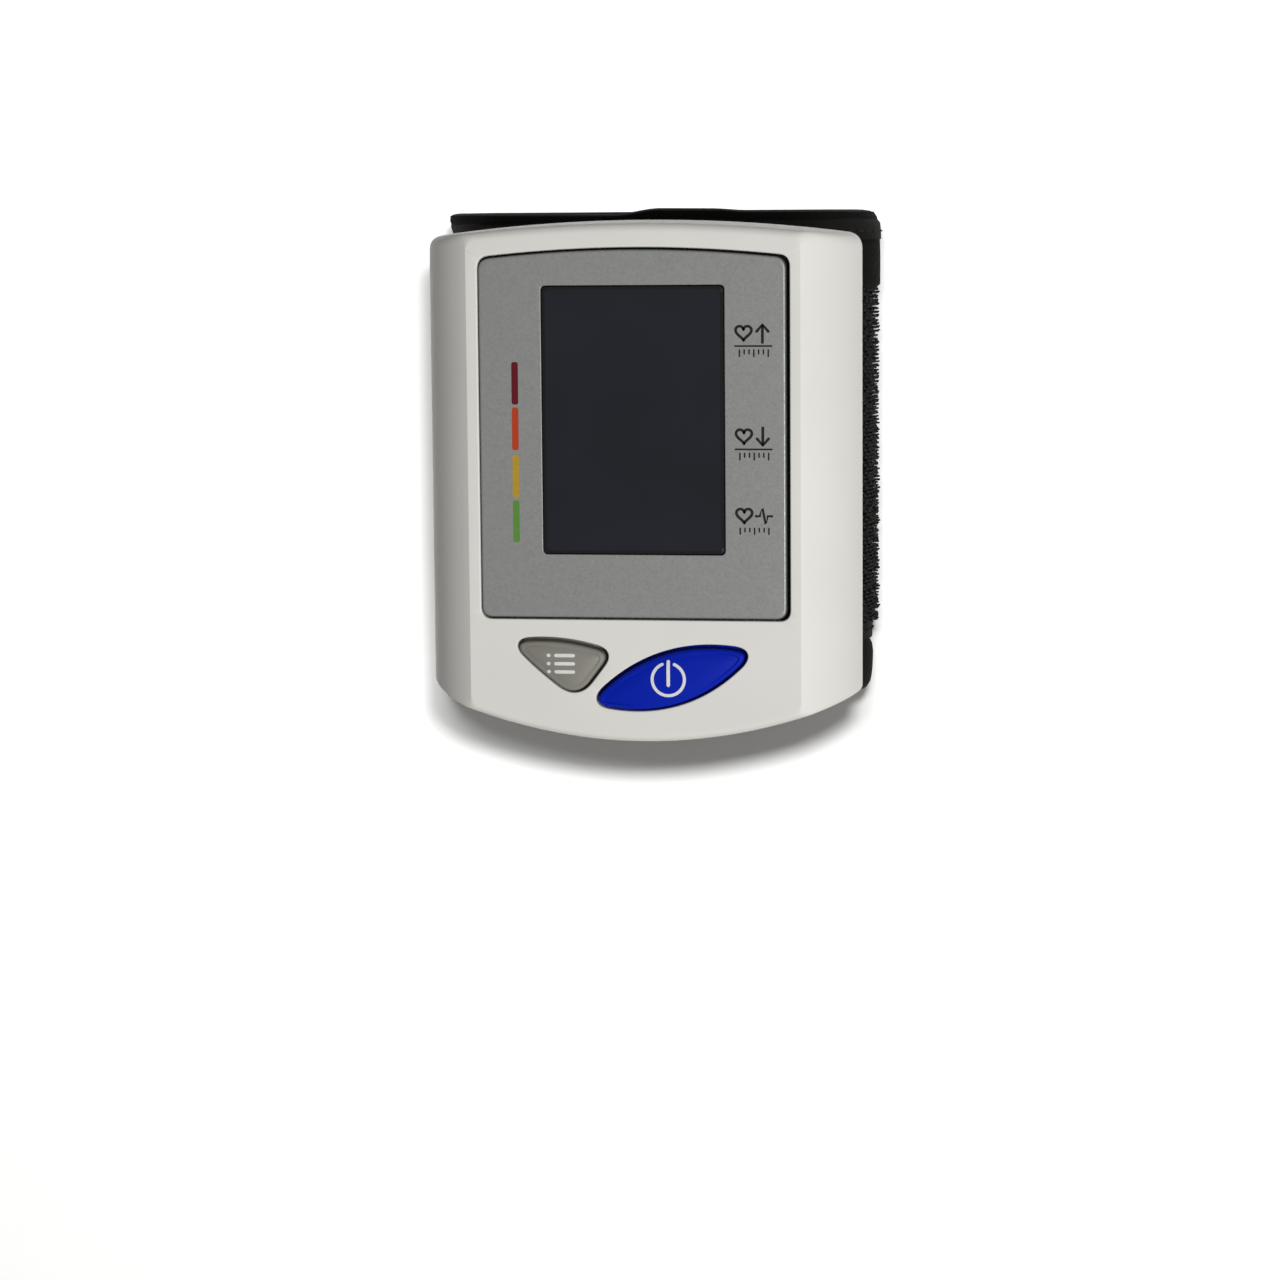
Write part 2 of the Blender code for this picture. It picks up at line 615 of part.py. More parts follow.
def flank_point(share):
    """Half width and height on the curved flank, from the parting line to the crease."""
    start = Vector((CASE_HALF_WIDTH, PARTING_Z))
    end = Vector((CREASE_HALF_WIDTH, FRONT_Z))
    lower = start + Vector((0.0, FLANK_LOWER_PULL))
    upper = end + Vector((math.cos(CREASE_SLOPE), -math.sin(CREASE_SLOPE))) * FLANK_UPPER_PULL
    rest = 1 - share
    return (start * rest ** 3 + lower * 3 * rest ** 2 * share
            + upper * 3 * rest * share ** 2 + end * share ** 3)


def fillet_inset(depth, radius):
    """How far a rounded edge has drawn in, this far below the surface it leads to."""
    left = min(max(radius - depth, 0.0), radius)
    return radius - math.sqrt(radius ** 2 - left ** 2)


def front_ring(share, wall=0.0, ceiling=FRONT_Z):
    half_width, height = flank_point(share)
    inset = fillet_inset(FRONT_Z - height, EDGE_FILLET)
    corner_share = (height - PARTING_Z) / FRONT_DROP
    return level(case_outline(half_width - wall, inset + wall, corner_share), min(height, ceiling))


def boss_places():
    right = CASE_HALF_WIDTH - BOSS_INSET_X
    top, bottom = CASE_TOP_Y - BOSS_INSET_TOP, CASE_BOTTOM_Y + BOSS_INSET_BOTTOM
    return [(-right, top), (right, top), (-right, bottom), (right, bottom)]


def memory_outline():
    outline = rounded_shape(MEMORY_CORNERS, MEMORY_BULGES, MEMORY_CUTBACKS)
    return shifted(outline, (0.0, PANEL_BOTTOM_Y))


def power_outline():
    outline = rounded_shape(POWER_CORNERS, POWER_BULGES, POWER_CUTBACKS, edge_steps=16)
    return shifted(outline, (0.0, PANEL_BOTTOM_Y))


def panel_outline(left_gap=0.0, right_gap=0.0, top_gap=0.0, bottom_gap=0.0):
    left, right = PANEL_LEFT_X - left_gap, PANEL_RIGHT_X + right_gap
    bottom, corner_top = PANEL_BOTTOM_Y - bottom_gap, PANEL_TOP_Y + top_gap - PANEL_ARCH
    return rounded_shape([(left, bottom), (right, bottom), (right, corner_top), (left, corner_top)],
                         [0.0, 0.0, PANEL_ARCH, 0.0], [PANEL_CORNER] * 4, edge_steps=12)


def make_upper_case():
    case = loft("upper_case", [front_ring(share) for share in FLANK_SHARES], "white_abs")
    hollow_rings = [level(case_outline(CASE_HALF_WIDTH - WALL, WALL, 0.0), PARTING_Z - OVERRUN)]
    hollow_rings += [front_ring(share, WALL, FRONT_INNER_Z) for share in FLANK_SHARES
                     if flank_point(share).y < FRONT_INNER_Z]
    hollow_rings.append(level(case_outline(CREASE_HALF_WIDTH + WALL, WALL + EDGE_FILLET, 1.0),
                              FRONT_INNER_Z))
    boolean(case, loft("upper_hollow", hollow_rings))
    screw_way = SCREW_RADIUS + SCREW_CLEARANCE
    for number, place in enumerate(boss_places(), 1):
        boss = prism(f"upper_boss_{number}", circle(place, BOSS_RADIUS),
                     PARTING_Z + PARTING_GAP, FRONT_INNER_Z + GAP)
        boolean(case, boss, 'UNION')
        pilot = prism(f"upper_pilot_{number}", circle(place, screw_way, SMALL_SEGMENTS),
                      PARTING_Z - OVERRUN, PARTING_Z + SCREW_ENGAGEMENT + SCREW_CLEARANCE)
        boolean(case, pilot)
    pocket = panel_outline(PANEL_GAP_NARROW, PANEL_GAP_WIDE, PANEL_GAP_WIDE, PANEL_GAP_NARROW)
    boolean(case, prism("panel_pocket", pocket, PANEL_BOTTOM_Z - GAP, FRONT_Z + OVERRUN))
    aperture = rounded_rectangle((0.0, WINDOW_CENTRE_Y), WINDOW_WIDTH - 2 * WINDOW_LEDGE,
                                 WINDOW_HEIGHT - 2 * WINDOW_LEDGE, WINDOW_CORNER)
    boolean(case, prism("lcd_aperture", aperture, FRONT_INNER_Z - OVERRUN, FRONT_Z + OVERRUN))
    for name, outline in (("memory", memory_outline()), ("power", power_outline())):
        hole = shifted(offset_outline(outline, BUTTON_HOLE_GAP), BUTTON_HOLE_SHIFT)
        boolean(case, prism(f"{name}_hole", hole, FRONT_INNER_Z - OVERRUN, FRONT_Z + OVERRUN))


def rear_half_width(height):
    """The rear shell tapers from the parting line to its rim."""
    return CASE_HALF_WIDTH - REAR_SHADOW_STEP - REAR_TAPER * (PARTING_Z - height) / REAR_DEPTH


def rear_outline(height, inset):
    taper = CASE_HALF_WIDTH - rear_half_width(height)
    return case_outline(CASE_HALF_WIDTH - taper - inset, taper + inset, 0.0)


def rear_ring(height, inset=0.0):
    return level(rear_outline(height, inset), height)


def make_lower_case():
    top = PARTING_Z - PARTING_GAP
    lip_top = PARTING_Z + LIP_HEIGHT
    lip_outer, lip_inner = WALL + GAP, WALL + GAP + LIP_WIDTH
    rounding = [(RIM_Z + depth, fillet_inset(depth, REAR_EDGE_FILLET))
                for depth in (REAR_EDGE_FILLET * share for share in (0.0, 0.08, 0.3, 0.6, 1.0))]
    rings = [rear_ring(height, inset) for height, inset in rounding]
    rings += [rear_ring(top),
              level(rear_outline(top, lip_outer), top),
              level(rear_outline(top, lip_outer), lip_top),
              level(rear_outline(top, lip_inner), lip_top),
              level(rear_outline(top, lip_inner), top - LIP_ROOT),
              rear_ring(top - 2 * LIP_ROOT, REAR_WALL),
              rear_ring(FLOOR_Z, REAR_WALL)]
    case = loft("lower_case", rings, "white_abs")

    side_hollow = loft("lower_side_hollow", [rear_ring(RIM_Z + FLOOR_WALL, REAR_WALL + FLOOR_WALL),
                                             rear_ring(FLOOR_Z + OVERRUN, REAR_WALL + GAP)])
    boolean(side_hollow, crown_cylinder("floor_core", BAND_THICKNESS + GAP + FLOOR_WALL))
    boolean(case, side_hollow)

    left, right, low, high = bay_room()
    middle_x, shell_bottom = (left + right) / 2, low - BAY_WALL
    shell = block("bay_shell", (middle_x + BAY_WALL / 2, 0.0, (shell_bottom + high) / 2),
                  (right - left + BAY_WALL, BAY_LENGTH + 2 * BAY_WALL, high - shell_bottom))
    boolean(case, shell, 'UNION')
    for number, place in enumerate(boss_places(), 1):
        boss = prism(f"lower_boss_{number}", circle(place, BOSS_RADIUS), RIM_Z + REAR_EDGE_FILLET, top)
        boolean(case, boss, 'UNION')
    boolean(case, crown_cylinder("cuff_saddle", BAND_THICKNESS + GAP))

    boolean(case, block("bay_room", (middle_x, 0.0, (low + high + OVERRUN) / 2),
                        (right - left, BAY_LENGTH, high + OVERRUN - low)))
    boolean(case, door_cutter("door_opening", RUNNING_GAP, CASE_HALF_WIDTH + left + DOOR_WALL))
    screw_way, screw_seat = SCREW_RADIUS + SCREW_CLEARANCE, SCREW_HEAD_RADIUS + SCREW_CLEARANCE
    for number, place in enumerate(boss_places(), 1):
        boolean(case, prism(f"screw_way_{number}", circle(place, screw_way, SMALL_SEGMENTS),
                            RIM_Z - OVERRUN, PARTING_Z + OVERRUN))
        boolean(case, prism(f"screw_seat_{number}", circle(place, screw_seat),
                            RIM_Z - OVERRUN, seat_height()))
    nozzle_way = circle((OPENING_OFFSET_X, NOZZLE_Y), NOZZLE_RADIUS + GAP)
    boolean(case, prism("nozzle_way", nozzle_way, CROWN_Z - OVERRUN, FLOOR_Z + OVERRUN))


def seat_height():
    """The screw heads bear on the boss, clear of the cuff where it rises beside them."""
    nearest = -(CASE_HALF_WIDTH - BOSS_INSET_X) + SCREW_HEAD_RADIUS
    share = (nearest - OPENING_OFFSET_X) / (OPENING_HALF_WIDTH + BAND_THICKNESS)
    beside = (OPENING_HALF_HEIGHT + BAND_THICKNESS) * math.sqrt(1 - share ** 2)
    return OPENING_CENTRE_Z + beside + SCREW_SEAT_CLEARANCE + SCREW_HEAD_HEIGHT


def make_screws():
    for number, (x, y) in enumerate(boss_places(), 1):
        seat = seat_height() - GAP
        length = PARTING_Z + SCREW_ENGAGEMENT - seat
        screw = turned(f"case_screw_{number}",
                       [(SCREW_HEAD_RADIUS, -SCREW_HEAD_HEIGHT), (SCREW_HEAD_RADIUS, 0.0),
                        (SCREW_RADIUS, 0.0), (SCREW_RADIUS, length - SCREW_RADIUS),
                        (SCREW_RADIUS / 4, length)],
                       (x, y, seat), (0.0, 0.0, 1.0), "steel", SMALL_SEGMENTS)
        floor = seat - SCREW_HEAD_HEIGHT + (DRIVE_DEPTH - OVERRUN) / 2
        for turn, size in enumerate(((DRIVE_SPAN, DRIVE_WIDTH), (DRIVE_WIDTH, DRIVE_SPAN))):
            boolean(screw, block(f"drive_{number}_{turn}", (x, y, floor),
                                 (size[0], size[1], DRIVE_DEPTH + OVERRUN)))


# Battery bay

def cell_places():
    """Centres of the two cells, the first beside the door."""
    outer = rear_half_width(CELL_Z) - DOOR_WALL - CELL_WALL_CLEARANCE
    first = -(outer - CELL_RADIUS)
    return [first, first + CELL_PITCH]


def bay_room():
    """Inner left, right, floor and top of the bay."""
    first, second = cell_places()
    left = -(rear_half_width(CELL_Z) - REAR_WALL)
    right = second + CELL_RADIUS + BAY_CLEARANCE
    return left, right, CELL_Z - CELL_RADIUS - BAY_CLEARANCE, PARTING_Z - PARTING_GAP


def door_cutter(name, gap, depth):
    """Block through the left wall at the battery door, from outside to a given depth."""
    inner = -CASE_HALF_WIDTH + depth
    outer = -CASE_HALF_WIDTH - OVERRUN
    return block(name, ((inner + outer) / 2, 0.0, CELL_Z),
                 (inner - outer, BAY_LENGTH - 2 * DOOR_MARGIN + 2 * gap, DOOR_HEIGHT + 2 * gap))


def make_battery_door():
    """A snap-in lid cut from the same skin as the rear shell, with a grip on it."""
    half_height = DOOR_HEIGHT / 2
    rings = [level(rear_outline(CELL_Z + side * half_height, 0.0), CELL_Z + side * half_height)
             for side in (-1, 1)]
    door = loft("battery_door", rings, "white_abs")
    boolean(door, door_cutter("door_bounds", 0.0, CASE_HALF_WIDTH / 2), 'INTERSECT')
    inner_rings = [level(rear_outline(CELL_Z + side * (half_height + OVERRUN), DOOR_WALL),
                         CELL_Z + side * (half_height + OVERRUN)) for side in (-1, 1)]
    boolean(door, loft("door_inside", inner_rings))
    for number in range(DOOR_GRIP_COUNT):
        along = (number - (DOOR_GRIP_COUNT - 1) / 2) * DOOR_GRIP_PITCH
        reach = rear_half_width(CELL_Z) + along * REAR_TAPER / REAR_DEPTH
        groove = block(f"door_grip_{number}",
                       (-reach - OVERRUN / 2 + DOOR_GRIP_DEPTH, 0.0, CELL_Z + along),
                       (OVERRUN, DOOR_GRIP_LENGTH, DOOR_GRIP_WIDTH))
        boolean(door, groove)
    place_origin(door, (-rear_half_width(CELL_Z), 0.0, CELL_Z))


def make_cells():
    body = CELL_LENGTH - CELL_NUB_LENGTH
    profile = [(CELL_RADIUS - CELL_EDGE, -CELL_LENGTH / 2), (CELL_RADIUS, -CELL_LENGTH / 2 + CELL_EDGE),
               (CELL_RADIUS, body - CELL_LENGTH / 2 - CELL_EDGE),
               (CELL_RADIUS - CELL_EDGE, body - CELL_LENGTH / 2),
               (CELL_NUB_RADIUS, body - CELL_LENGTH / 2), (CELL_NUB_RADIUS, CELL_LENGTH / 2)]
    for number, (x, way) in enumerate(zip(cell_places(), (1, -1)), 1):
        turned(f"battery_{number}", profile, (x, cell_shift() * way, CELL_Z), (0.0, way, 0.0), "cell_wrap")


def cell_shift():
    """The cells sit this far off centre, against the contact at their nub."""
    return BAY_LENGTH / 2 - CONTACT_THICKNESS - 2 * GAP - CELL_LENGTH / 2


def make_contacts():
    first, second = cell_places()
    face = BAY_LENGTH / 2 - GAP - CONTACT_THICKNESS / 2
    for name, x in (("contact_positive", first), ("contact_negative", second)):
        block(name, (x, face, CELL_Z), (CONTACT_SIDE, CONTACT_THICKNESS, CONTACT_SIDE), "nickel")
    block("contact_bridge", ((first + second) / 2, -face, CELL_Z),
          (CELL_PITCH + CONTACT_SIDE, CONTACT_THICKNESS, CONTACT_SIDE), "nickel")
    for name, x, way in (("spring_1", first, -1), ("spring_2", second, 1)):
        make_spring(name, x, way)


def make_spring(name, x, way):
    """A conical battery spring between its contact plate and the cell's flat end."""
    base = BAY_LENGTH / 2 - 2 * GAP - CONTACT_THICKNESS - SPRING_WIRE_RADIUS
    tip = CELL_LENGTH / 2 - cell_shift() + GAP + SPRING_WIRE_RADIUS
    steps = round(SPRING_TURNS * SPRING_POINTS_PER_TURN)
    points = []
    for step in range(steps + 1):
        share = step / steps
        turn = math.tau * SPRING_TURNS * share
        radius = SPRING_BASE_RADIUS + (SPRING_TIP_RADIUS - SPRING_BASE_RADIUS) * share
        along = base + (tip - base) * share
        points.append((x + radius * math.cos(turn), way * along, CELL_Z + radius * math.sin(turn)))
    tube(name, points, SPRING_WIRE_RADIUS, "nickel", 1)


def tube(name, points, radius, material, sides=2):
    curve = bpy.data.curves.new(name, 'CURVE')
    curve.dimensions = '3D'
    curve.bevel_depth = radius
    curve.bevel_resolution = sides
    curve.use_fill_caps = True
    spline = curve.splines.new('POLY')
    spline.points.add(len(points) - 1)
    for place, point in zip(spline.points, points):
        place.co = (*point, 1.0)
    curve.materials.append(surface_material(material))
    made = bpy.data.objects.new(name, curve)
    bpy.context.scene.collection.objects.link(made)
    return made


# Panel, display and board

def make_panel():
    middle, top = PANEL_TOP_Z - PANEL_EDGE, PANEL_TOP_Z
    outline = panel_outline()
    panel = loft("face_panel", [level(outline, PANEL_BOTTOM_Z), level(outline, middle),
                                level(offset_outline(outline, -PANEL_EDGE), top)], "silver_panel")
    seam = rounded_rectangle((0.0, WINDOW_CENTRE_Y), WINDOW_WIDTH + 2 * WINDOW_SEAM,
                             WINDOW_HEIGHT + 2 * WINDOW_SEAM, WINDOW_CORNER)
    boolean(panel, prism("window_seam", seam, PANEL_BOTTOM_Z - OVERRUN, PANEL_TOP_Z + OVERRUN))
    window = rounded_rectangle((0.0, WINDOW_CENTRE_Y), WINDOW_WIDTH, WINDOW_HEIGHT, WINDOW_CORNER)
    loft("display_window", [level(window, PANEL_BOTTOM_Z), level(window, middle),
                            level(offset_outline(window, -PANEL_EDGE), top)], "tinted_window")


def lcd_level():
    """Underside of the glass, which lies just below the front wall."""
    return FRONT_INNER_Z - GAP - LCD_SEAL_THICKNESS - LCD_THICKNESS


def make_display():
    centre = (0.0, WINDOW_CENTRE_Y)
    glass_z = lcd_level()
    glass = rounded_rectangle(centre, LCD_WIDTH, LCD_HEIGHT, LCD_CORNER)
    prism("lcd_glass", glass, glass_z, glass_z + LCD_THICKNESS - GAP, "lcd_glass")
    outer = rounded_rectangle(centre, LCD_WIDTH + 2 * (GAP + LCD_FRAME_WALL),
                              LCD_HEIGHT + 2 * (GAP + LCD_FRAME_WALL), LCD_CORNER)
    shoulder = rounded_rectangle(centre, LCD_WIDTH + 2 * GAP, LCD_HEIGHT + 2 * GAP, LCD_CORNER)
    hollow = rounded_rectangle(centre, LCD_WIDTH - 2 * LCD_FRAME_WALL,
                               LCD_HEIGHT - 2 * LCD_FRAME_WALL, LCD_CORNER)
    bottom, ledge, top = BOARD_TOP_Z + GAP, glass_z - GAP, glass_z + LCD_THICKNESS
    loft("lcd_frame", [level(outer, bottom), level(outer, top), level(shoulder, top),
                       level(shoulder, ledge), level(hollow, ledge), level(hollow, bottom)],
         "natural_abs", closed=True)
    seal = rounded_rectangle(centre, LCD_WIDTH, LCD_HEIGHT, LCD_CORNER)
    inner = rounded_rectangle(centre, WINDOW_WIDTH, WINDOW_HEIGHT, WINDOW_CORNER)
    loft("lcd_seal", [level(seal, top), level(seal, top + LCD_SEAL_THICKNESS),
                      level(inner, top + LCD_SEAL_THICKNESS), level(inner, top)],
         "black_resin", closed=True)
    strip_y = WINDOW_CENTRE_Y - LCD_HEIGHT / 2 + LCD_FRAME_WALL + GAP + LCD_FRAME_WALL / 2
    block("lcd_connector", (0.0, strip_y, (bottom + ledge) / 2),
          (LCD_WIDTH - 2 * LCD_FRAME_WALL - 2 * GAP, LCD_FRAME_WALL, ledge - bottom), "silicone")


def make_button(name, outline, centre, material):
    flange_top = FRONT_INNER_Z - GAP
    flange_bottom = flange_top - BUTTON_FLANGE_THICKNESS
    crown = FRONT_Z + BUTTON_PROUD
    flange = offset_outline(outline, BUTTON_FLANGE)
    rings = [level(flange, flange_bottom), level(flange, flange_top), level(outline, flange_top),
             level(outline, crown - BUTTON_EDGE)]
    for share in (0.35, 0.7, 1.0):
        drawn_in = fillet_inset(BUTTON_EDGE * (1 - share), BUTTON_EDGE)
        rings.append(level(offset_outline(outline, -drawn_in), crown - BUTTON_EDGE * (1 - share)))
    button = loft(f"{name}_button", rings, material)
    stem_bottom = plunger_top() + GAP
    boolean(button, prism(f"{name}_stem", circle(centre, STEM_RADIUS, SMALL_SEGMENTS),
                          stem_bottom, flange_bottom + BUTTON_FLANGE_THICKNESS / 2), 'UNION')
    place_origin(button, (*centre, crown))


def plunger_top():
    return BOARD_TOP_Z + GAP + SWITCH_HEIGHT + BUTTON_TRAVEL


def make_switch(name, centre):
    bottom = BOARD_TOP_Z + GAP
    body = block(f"{name}_switch", (*centre, bottom + SWITCH_HEIGHT / 2),
                 (SWITCH_SIDE, SWITCH_SIDE, SWITCH_HEIGHT), "black_resin")
    bore = circle(centre, PLUNGER_RADIUS + RUNNING_GAP, SMALL_SEGMENTS)
    boolean(body, prism(f"{name}_switch_bore", bore,
                        bottom + SWITCH_WALL / 2, bottom + SWITCH_HEIGHT + OVERRUN))
    top = plunger_top()
    plunger = prism(f"{name}_plunger", circle(centre, PLUNGER_RADIUS, SMALL_SEGMENTS),
                    top - PLUNGER_LENGTH, top, "grey_button")
    place_origin(plunger, (*centre, top))


def make_board():
    outline = rounded_rectangle((0.0, (BOARD_TOP_Y + BOARD_BOTTOM_Y) / 2), 2 * BOARD_HALF_WIDTH,
                                BOARD_TOP_Y - BOARD_BOTTOM_Y, BOARD_CORNER)
    prism("main_board", outline, BOARD_BOTTOM_Z, BOARD_TOP_Z, "circuit_board")
    above, below = BOARD_TOP_Z + GAP, BOARD_BOTTOM_Z - GAP
    block("processor_chip", (*PROCESSOR_CENTRE, above + PROCESSOR_HEIGHT / 2),
          (PROCESSOR_SIDE, PROCESSOR_SIDE, PROCESSOR_HEIGHT), "black_resin")
    turned("quartz_crystal",
           [(CRYSTAL_RADIUS, -CRYSTAL_LENGTH / 2), (CRYSTAL_RADIUS, CRYSTAL_LENGTH / 2)],
           (*CRYSTAL_CENTRE, above + CRYSTAL_RADIUS), (1.0, 0.0, 0.0), "nickel", SMALL_SEGMENTS)
    turned("buzzer", [(BUZZER_RADIUS, 0.0), (BUZZER_RADIUS, BUZZER_HEIGHT),
                      (BUZZER_HOLE_RADIUS, BUZZER_HEIGHT), (BUZZER_HOLE_RADIUS, BUZZER_HEIGHT / 2)],
           (*BUZZER_CENTRE, above), (0.0, 0.0, 1.0), "black_resin")
    width, length, height = SENSOR_SIZE
    x, y = SENSOR_CENTRE
    sensor = block("pressure_sensor", (x, y, below - height / 2), SENSOR_SIZE, "black_resin")
    port = turned("sensor_port",
                  [(SENSOR_PORT_RADIUS, -width / 4), (SENSOR_PORT_RADIUS, SENSOR_PORT_LENGTH)],
                  (x - width / 2, SENSOR_HOSE_Y, below - height / 2), (-1.0, 0.0, 0.0), None,
                  SMALL_SEGMENTS)
    boolean(sensor, port, 'UNION')


# Air system

def make_pump():
    front = MOTOR_REAR_Y + MOTOR_LENGTH
    turned("pump_motor", [(MOTOR_BOSS_RADIUS, -MOTOR_BOSS_LENGTH), (MOTOR_BOSS_RADIUS, 0.0),
                          (MOTOR_RADIUS - MOTOR_BOSS_LENGTH / 2, 0.0), (MOTOR_RADIUS, MOTOR_BOSS_LENGTH / 2),
                          (MOTOR_RADIUS, MOTOR_LENGTH)],
           (PUMP_X, MOTOR_REAR_Y, PUMP_Z), (0.0, 1.0, 0.0), "steel")
    outline = rounded_rectangle((PUMP_X, PUMP_Z), PUMP_HEAD_SIDE, PUMP_HEAD_SIDE, PUMP_HEAD_EDGE)
    rings = [[(x, y, z) for x, z in outline] for y in (front + GAP, front + GAP + PUMP_HEAD_LENGTH)]
    head = loft("pump_head", rings, "natural_abs")
    outlet = turned("pump_outlet", [(BARB_RADIUS, -BARB_LENGTH), (BARB_RADIUS, BARB_LENGTH)],
                    (PUMP_X, front + GAP + PUMP_HEAD_LENGTH, PUMP_Z), (0.0, 1.0, 0.0), None, SMALL_SEGMENTS)
    boolean(head, outlet, 'UNION')


def manifold_centre():
    return (OPENING_OFFSET_X, NOZZLE_Y, FLOOR_Z + NOZZLE_TOP_RISE + GAP + MANIFOLD_SIZE[2] / 2)


def make_air_parts():
    width, depth, height = MANIFOLD_SIZE
    x, y, z = manifold_centre()
    manifold = block("air_manifold", (x, y, z), MANIFOLD_SIZE, "natural_abs")
    barbs = {"manifold_to_valve": ((x + width / 2, y + depth / 4, z), (1.0, 0.0, 0.0)),
             "manifold_to_pump": ((x + width / 2, y - depth / 4, z), (1.0, 0.0, 0.0)),
             "manifold_to_sensor": ((x - width / 2, SENSOR_HOSE_Y, z), (-1.0, 0.0, 0.0))}
    for name, (place, way) in barbs.items():
        barb = turned(name, [(BARB_RADIUS, -width / 4), (BARB_RADIUS, BARB_LENGTH)], place, way, None,
                      SMALL_SEGMENTS)
        boolean(manifold, barb, 'UNION')

    flange_bottom = CROWN_Z - GAP - COVER_THICKNESS - GAP - FORMER_THICKNESS
    top = FLOOR_Z + NOZZLE_TOP_RISE
    nozzle = turned("air_nozzle", [(NOZZLE_FLANGE_RADIUS, 0.0), (NOZZLE_FLANGE_RADIUS, FORMER_THICKNESS / 2),
                                   (NOZZLE_RADIUS, FORMER_THICKNESS), (NOZZLE_RADIUS, top - flange_bottom)],
                    (OPENING_OFFSET_X, NOZZLE_Y, flange_bottom), (0.0, 0.0, 1.0), "natural_abs")
    bore = circle((OPENING_OFFSET_X, NOZZLE_Y), NOZZLE_BORE_RADIUS, SMALL_SEGMENTS)
    boolean(nozzle, prism("nozzle_bore", bore, flange_bottom - OVERRUN, top + OVERRUN))

    valve = block("release_valve", (*VALVE_CENTRE, z), VALVE_SIZE, "steel")
    inlet_x = VALVE_CENTRE[0] - VALVE_SIZE[0] / 2
    inlet = turned("valve_inlet", [(BARB_RADIUS, -BARB_LENGTH / 2), (BARB_RADIUS, BARB_LENGTH)],
                   (inlet_x, y + depth / 4, z), (-1.0, 0.0, 0.0), None, SMALL_SEGMENTS)
    boolean(valve, inlet, 'UNION')
    make_hoses(x + width / 2 + BARB_LENGTH + GAP, inlet_x - BARB_LENGTH - GAP)


def hose_route(start, start_way, end, end_way, pull):
    """Points along a smooth bend that leaves both ends along their barbs."""
    first, last = Vector(start), Vector(end)
    start, end = first + Vector(start_way) * HOSE_RADIUS, last + Vector(end_way) * HOSE_RADIUS
    lower, upper = start + Vector(start_way) * pull, end + Vector(end_way) * pull
    steps = round(((end - start).length + 2 * pull) / HOSE_STEP)
    route = [tuple(first)]
    for step in range(steps + 1):
        share = step / steps
        rest = 1 - share
        route.append(tuple(start * rest ** 3 + lower * 3 * rest ** 2 * share
                           + upper * 3 * rest * share ** 2 + end * share ** 3))
    return route + [tuple(last)]


def make_hoses(from_manifold_x, to_valve_x):
    x, y, z = manifold_centre()
    quarter = MANIFOLD_SIZE[1] / 4
    right, left = (1.0, 0.0, 0.0), (-1.0, 0.0, 0.0)
    tube("valve_hose", [(from_manifold_x, y + quarter, z), (to_valve_x, y + quarter, z)],
         HOSE_RADIUS, "silicone")

    outlet_y = MOTOR_REAR_Y + MOTOR_LENGTH + GAP + PUMP_HEAD_LENGTH + BARB_LENGTH + GAP
    pump_pull = (PUMP_X - from_manifold_x) * HOSE_PULL_SHARE
    tube("pump_hose", hose_route((from_manifold_x, y - quarter, z), right,
                                 (PUMP_X, outlet_y, PUMP_Z), (0.0, 1.0, 0.0), pump_pull),
         HOSE_RADIUS, "silicone")

    width, _, height = SENSOR_SIZE
    start_x = x - MANIFOLD_SIZE[0] / 2 - BARB_LENGTH - GAP
    port = (SENSOR_CENTRE[0] - width / 2 - SENSOR_PORT_LENGTH - GAP, SENSOR_HOSE_Y,
            BOARD_BOTTOM_Z - GAP - height / 2)
    tube("sensor_hose", hose_route((start_x, SENSOR_HOSE_Y, z), left, port, left, SENSOR_HOSE_PULL),
         HOSE_RADIUS, "silicone")


def main():
    clear_scene()
    make_cuff()
    make_flap()
    make_upper_case()
    make_lower_case()
    make_screws()
    make_battery_door()
    make_cells()
    make_contacts()
    make_panel()
    make_display()
    make_board()
    for name, outline, centre, material in (("memory", memory_outline(), MEMORY_CENTRE, "grey_button"),
                                            ("power", power_outline(), POWER_CENTRE, "blue_button")):
        make_button(name, outline, centre, material)
        make_switch(name, centre)
    make_pump()
    make_air_parts()


main()
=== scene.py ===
"""Detailed model of a wrist blood pressure monitor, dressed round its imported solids.

Metres, +Z up: the monitor lies on its closed cuff with the display facing up, +X is to the
right of the display and +Y is towards its top edge.
"""
import math

import bmesh
import bpy
from mathutils import Matrix, Vector, noise
from mathutils.bvhtree import BVHTree


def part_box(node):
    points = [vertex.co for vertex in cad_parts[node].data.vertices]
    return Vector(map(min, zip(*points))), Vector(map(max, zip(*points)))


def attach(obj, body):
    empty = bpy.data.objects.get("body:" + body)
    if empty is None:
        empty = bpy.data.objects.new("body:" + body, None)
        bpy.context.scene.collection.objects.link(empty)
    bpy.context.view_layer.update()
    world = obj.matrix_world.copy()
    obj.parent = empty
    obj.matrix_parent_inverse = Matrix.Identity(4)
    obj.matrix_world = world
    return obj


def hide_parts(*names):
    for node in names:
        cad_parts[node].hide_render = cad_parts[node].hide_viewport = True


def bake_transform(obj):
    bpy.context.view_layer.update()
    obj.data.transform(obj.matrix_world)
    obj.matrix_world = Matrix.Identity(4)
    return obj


bl_info = {
    "name": "Wrist blood pressure monitor",
    "version": (1, 0, 0),
    "blender": (4, 5, 0),
    "location": "View3D > Sidebar > Monitor",
    "description": "Builds the housing, keys, prints and cuff of a wrist blood pressure monitor",
    "category": "Object",
}

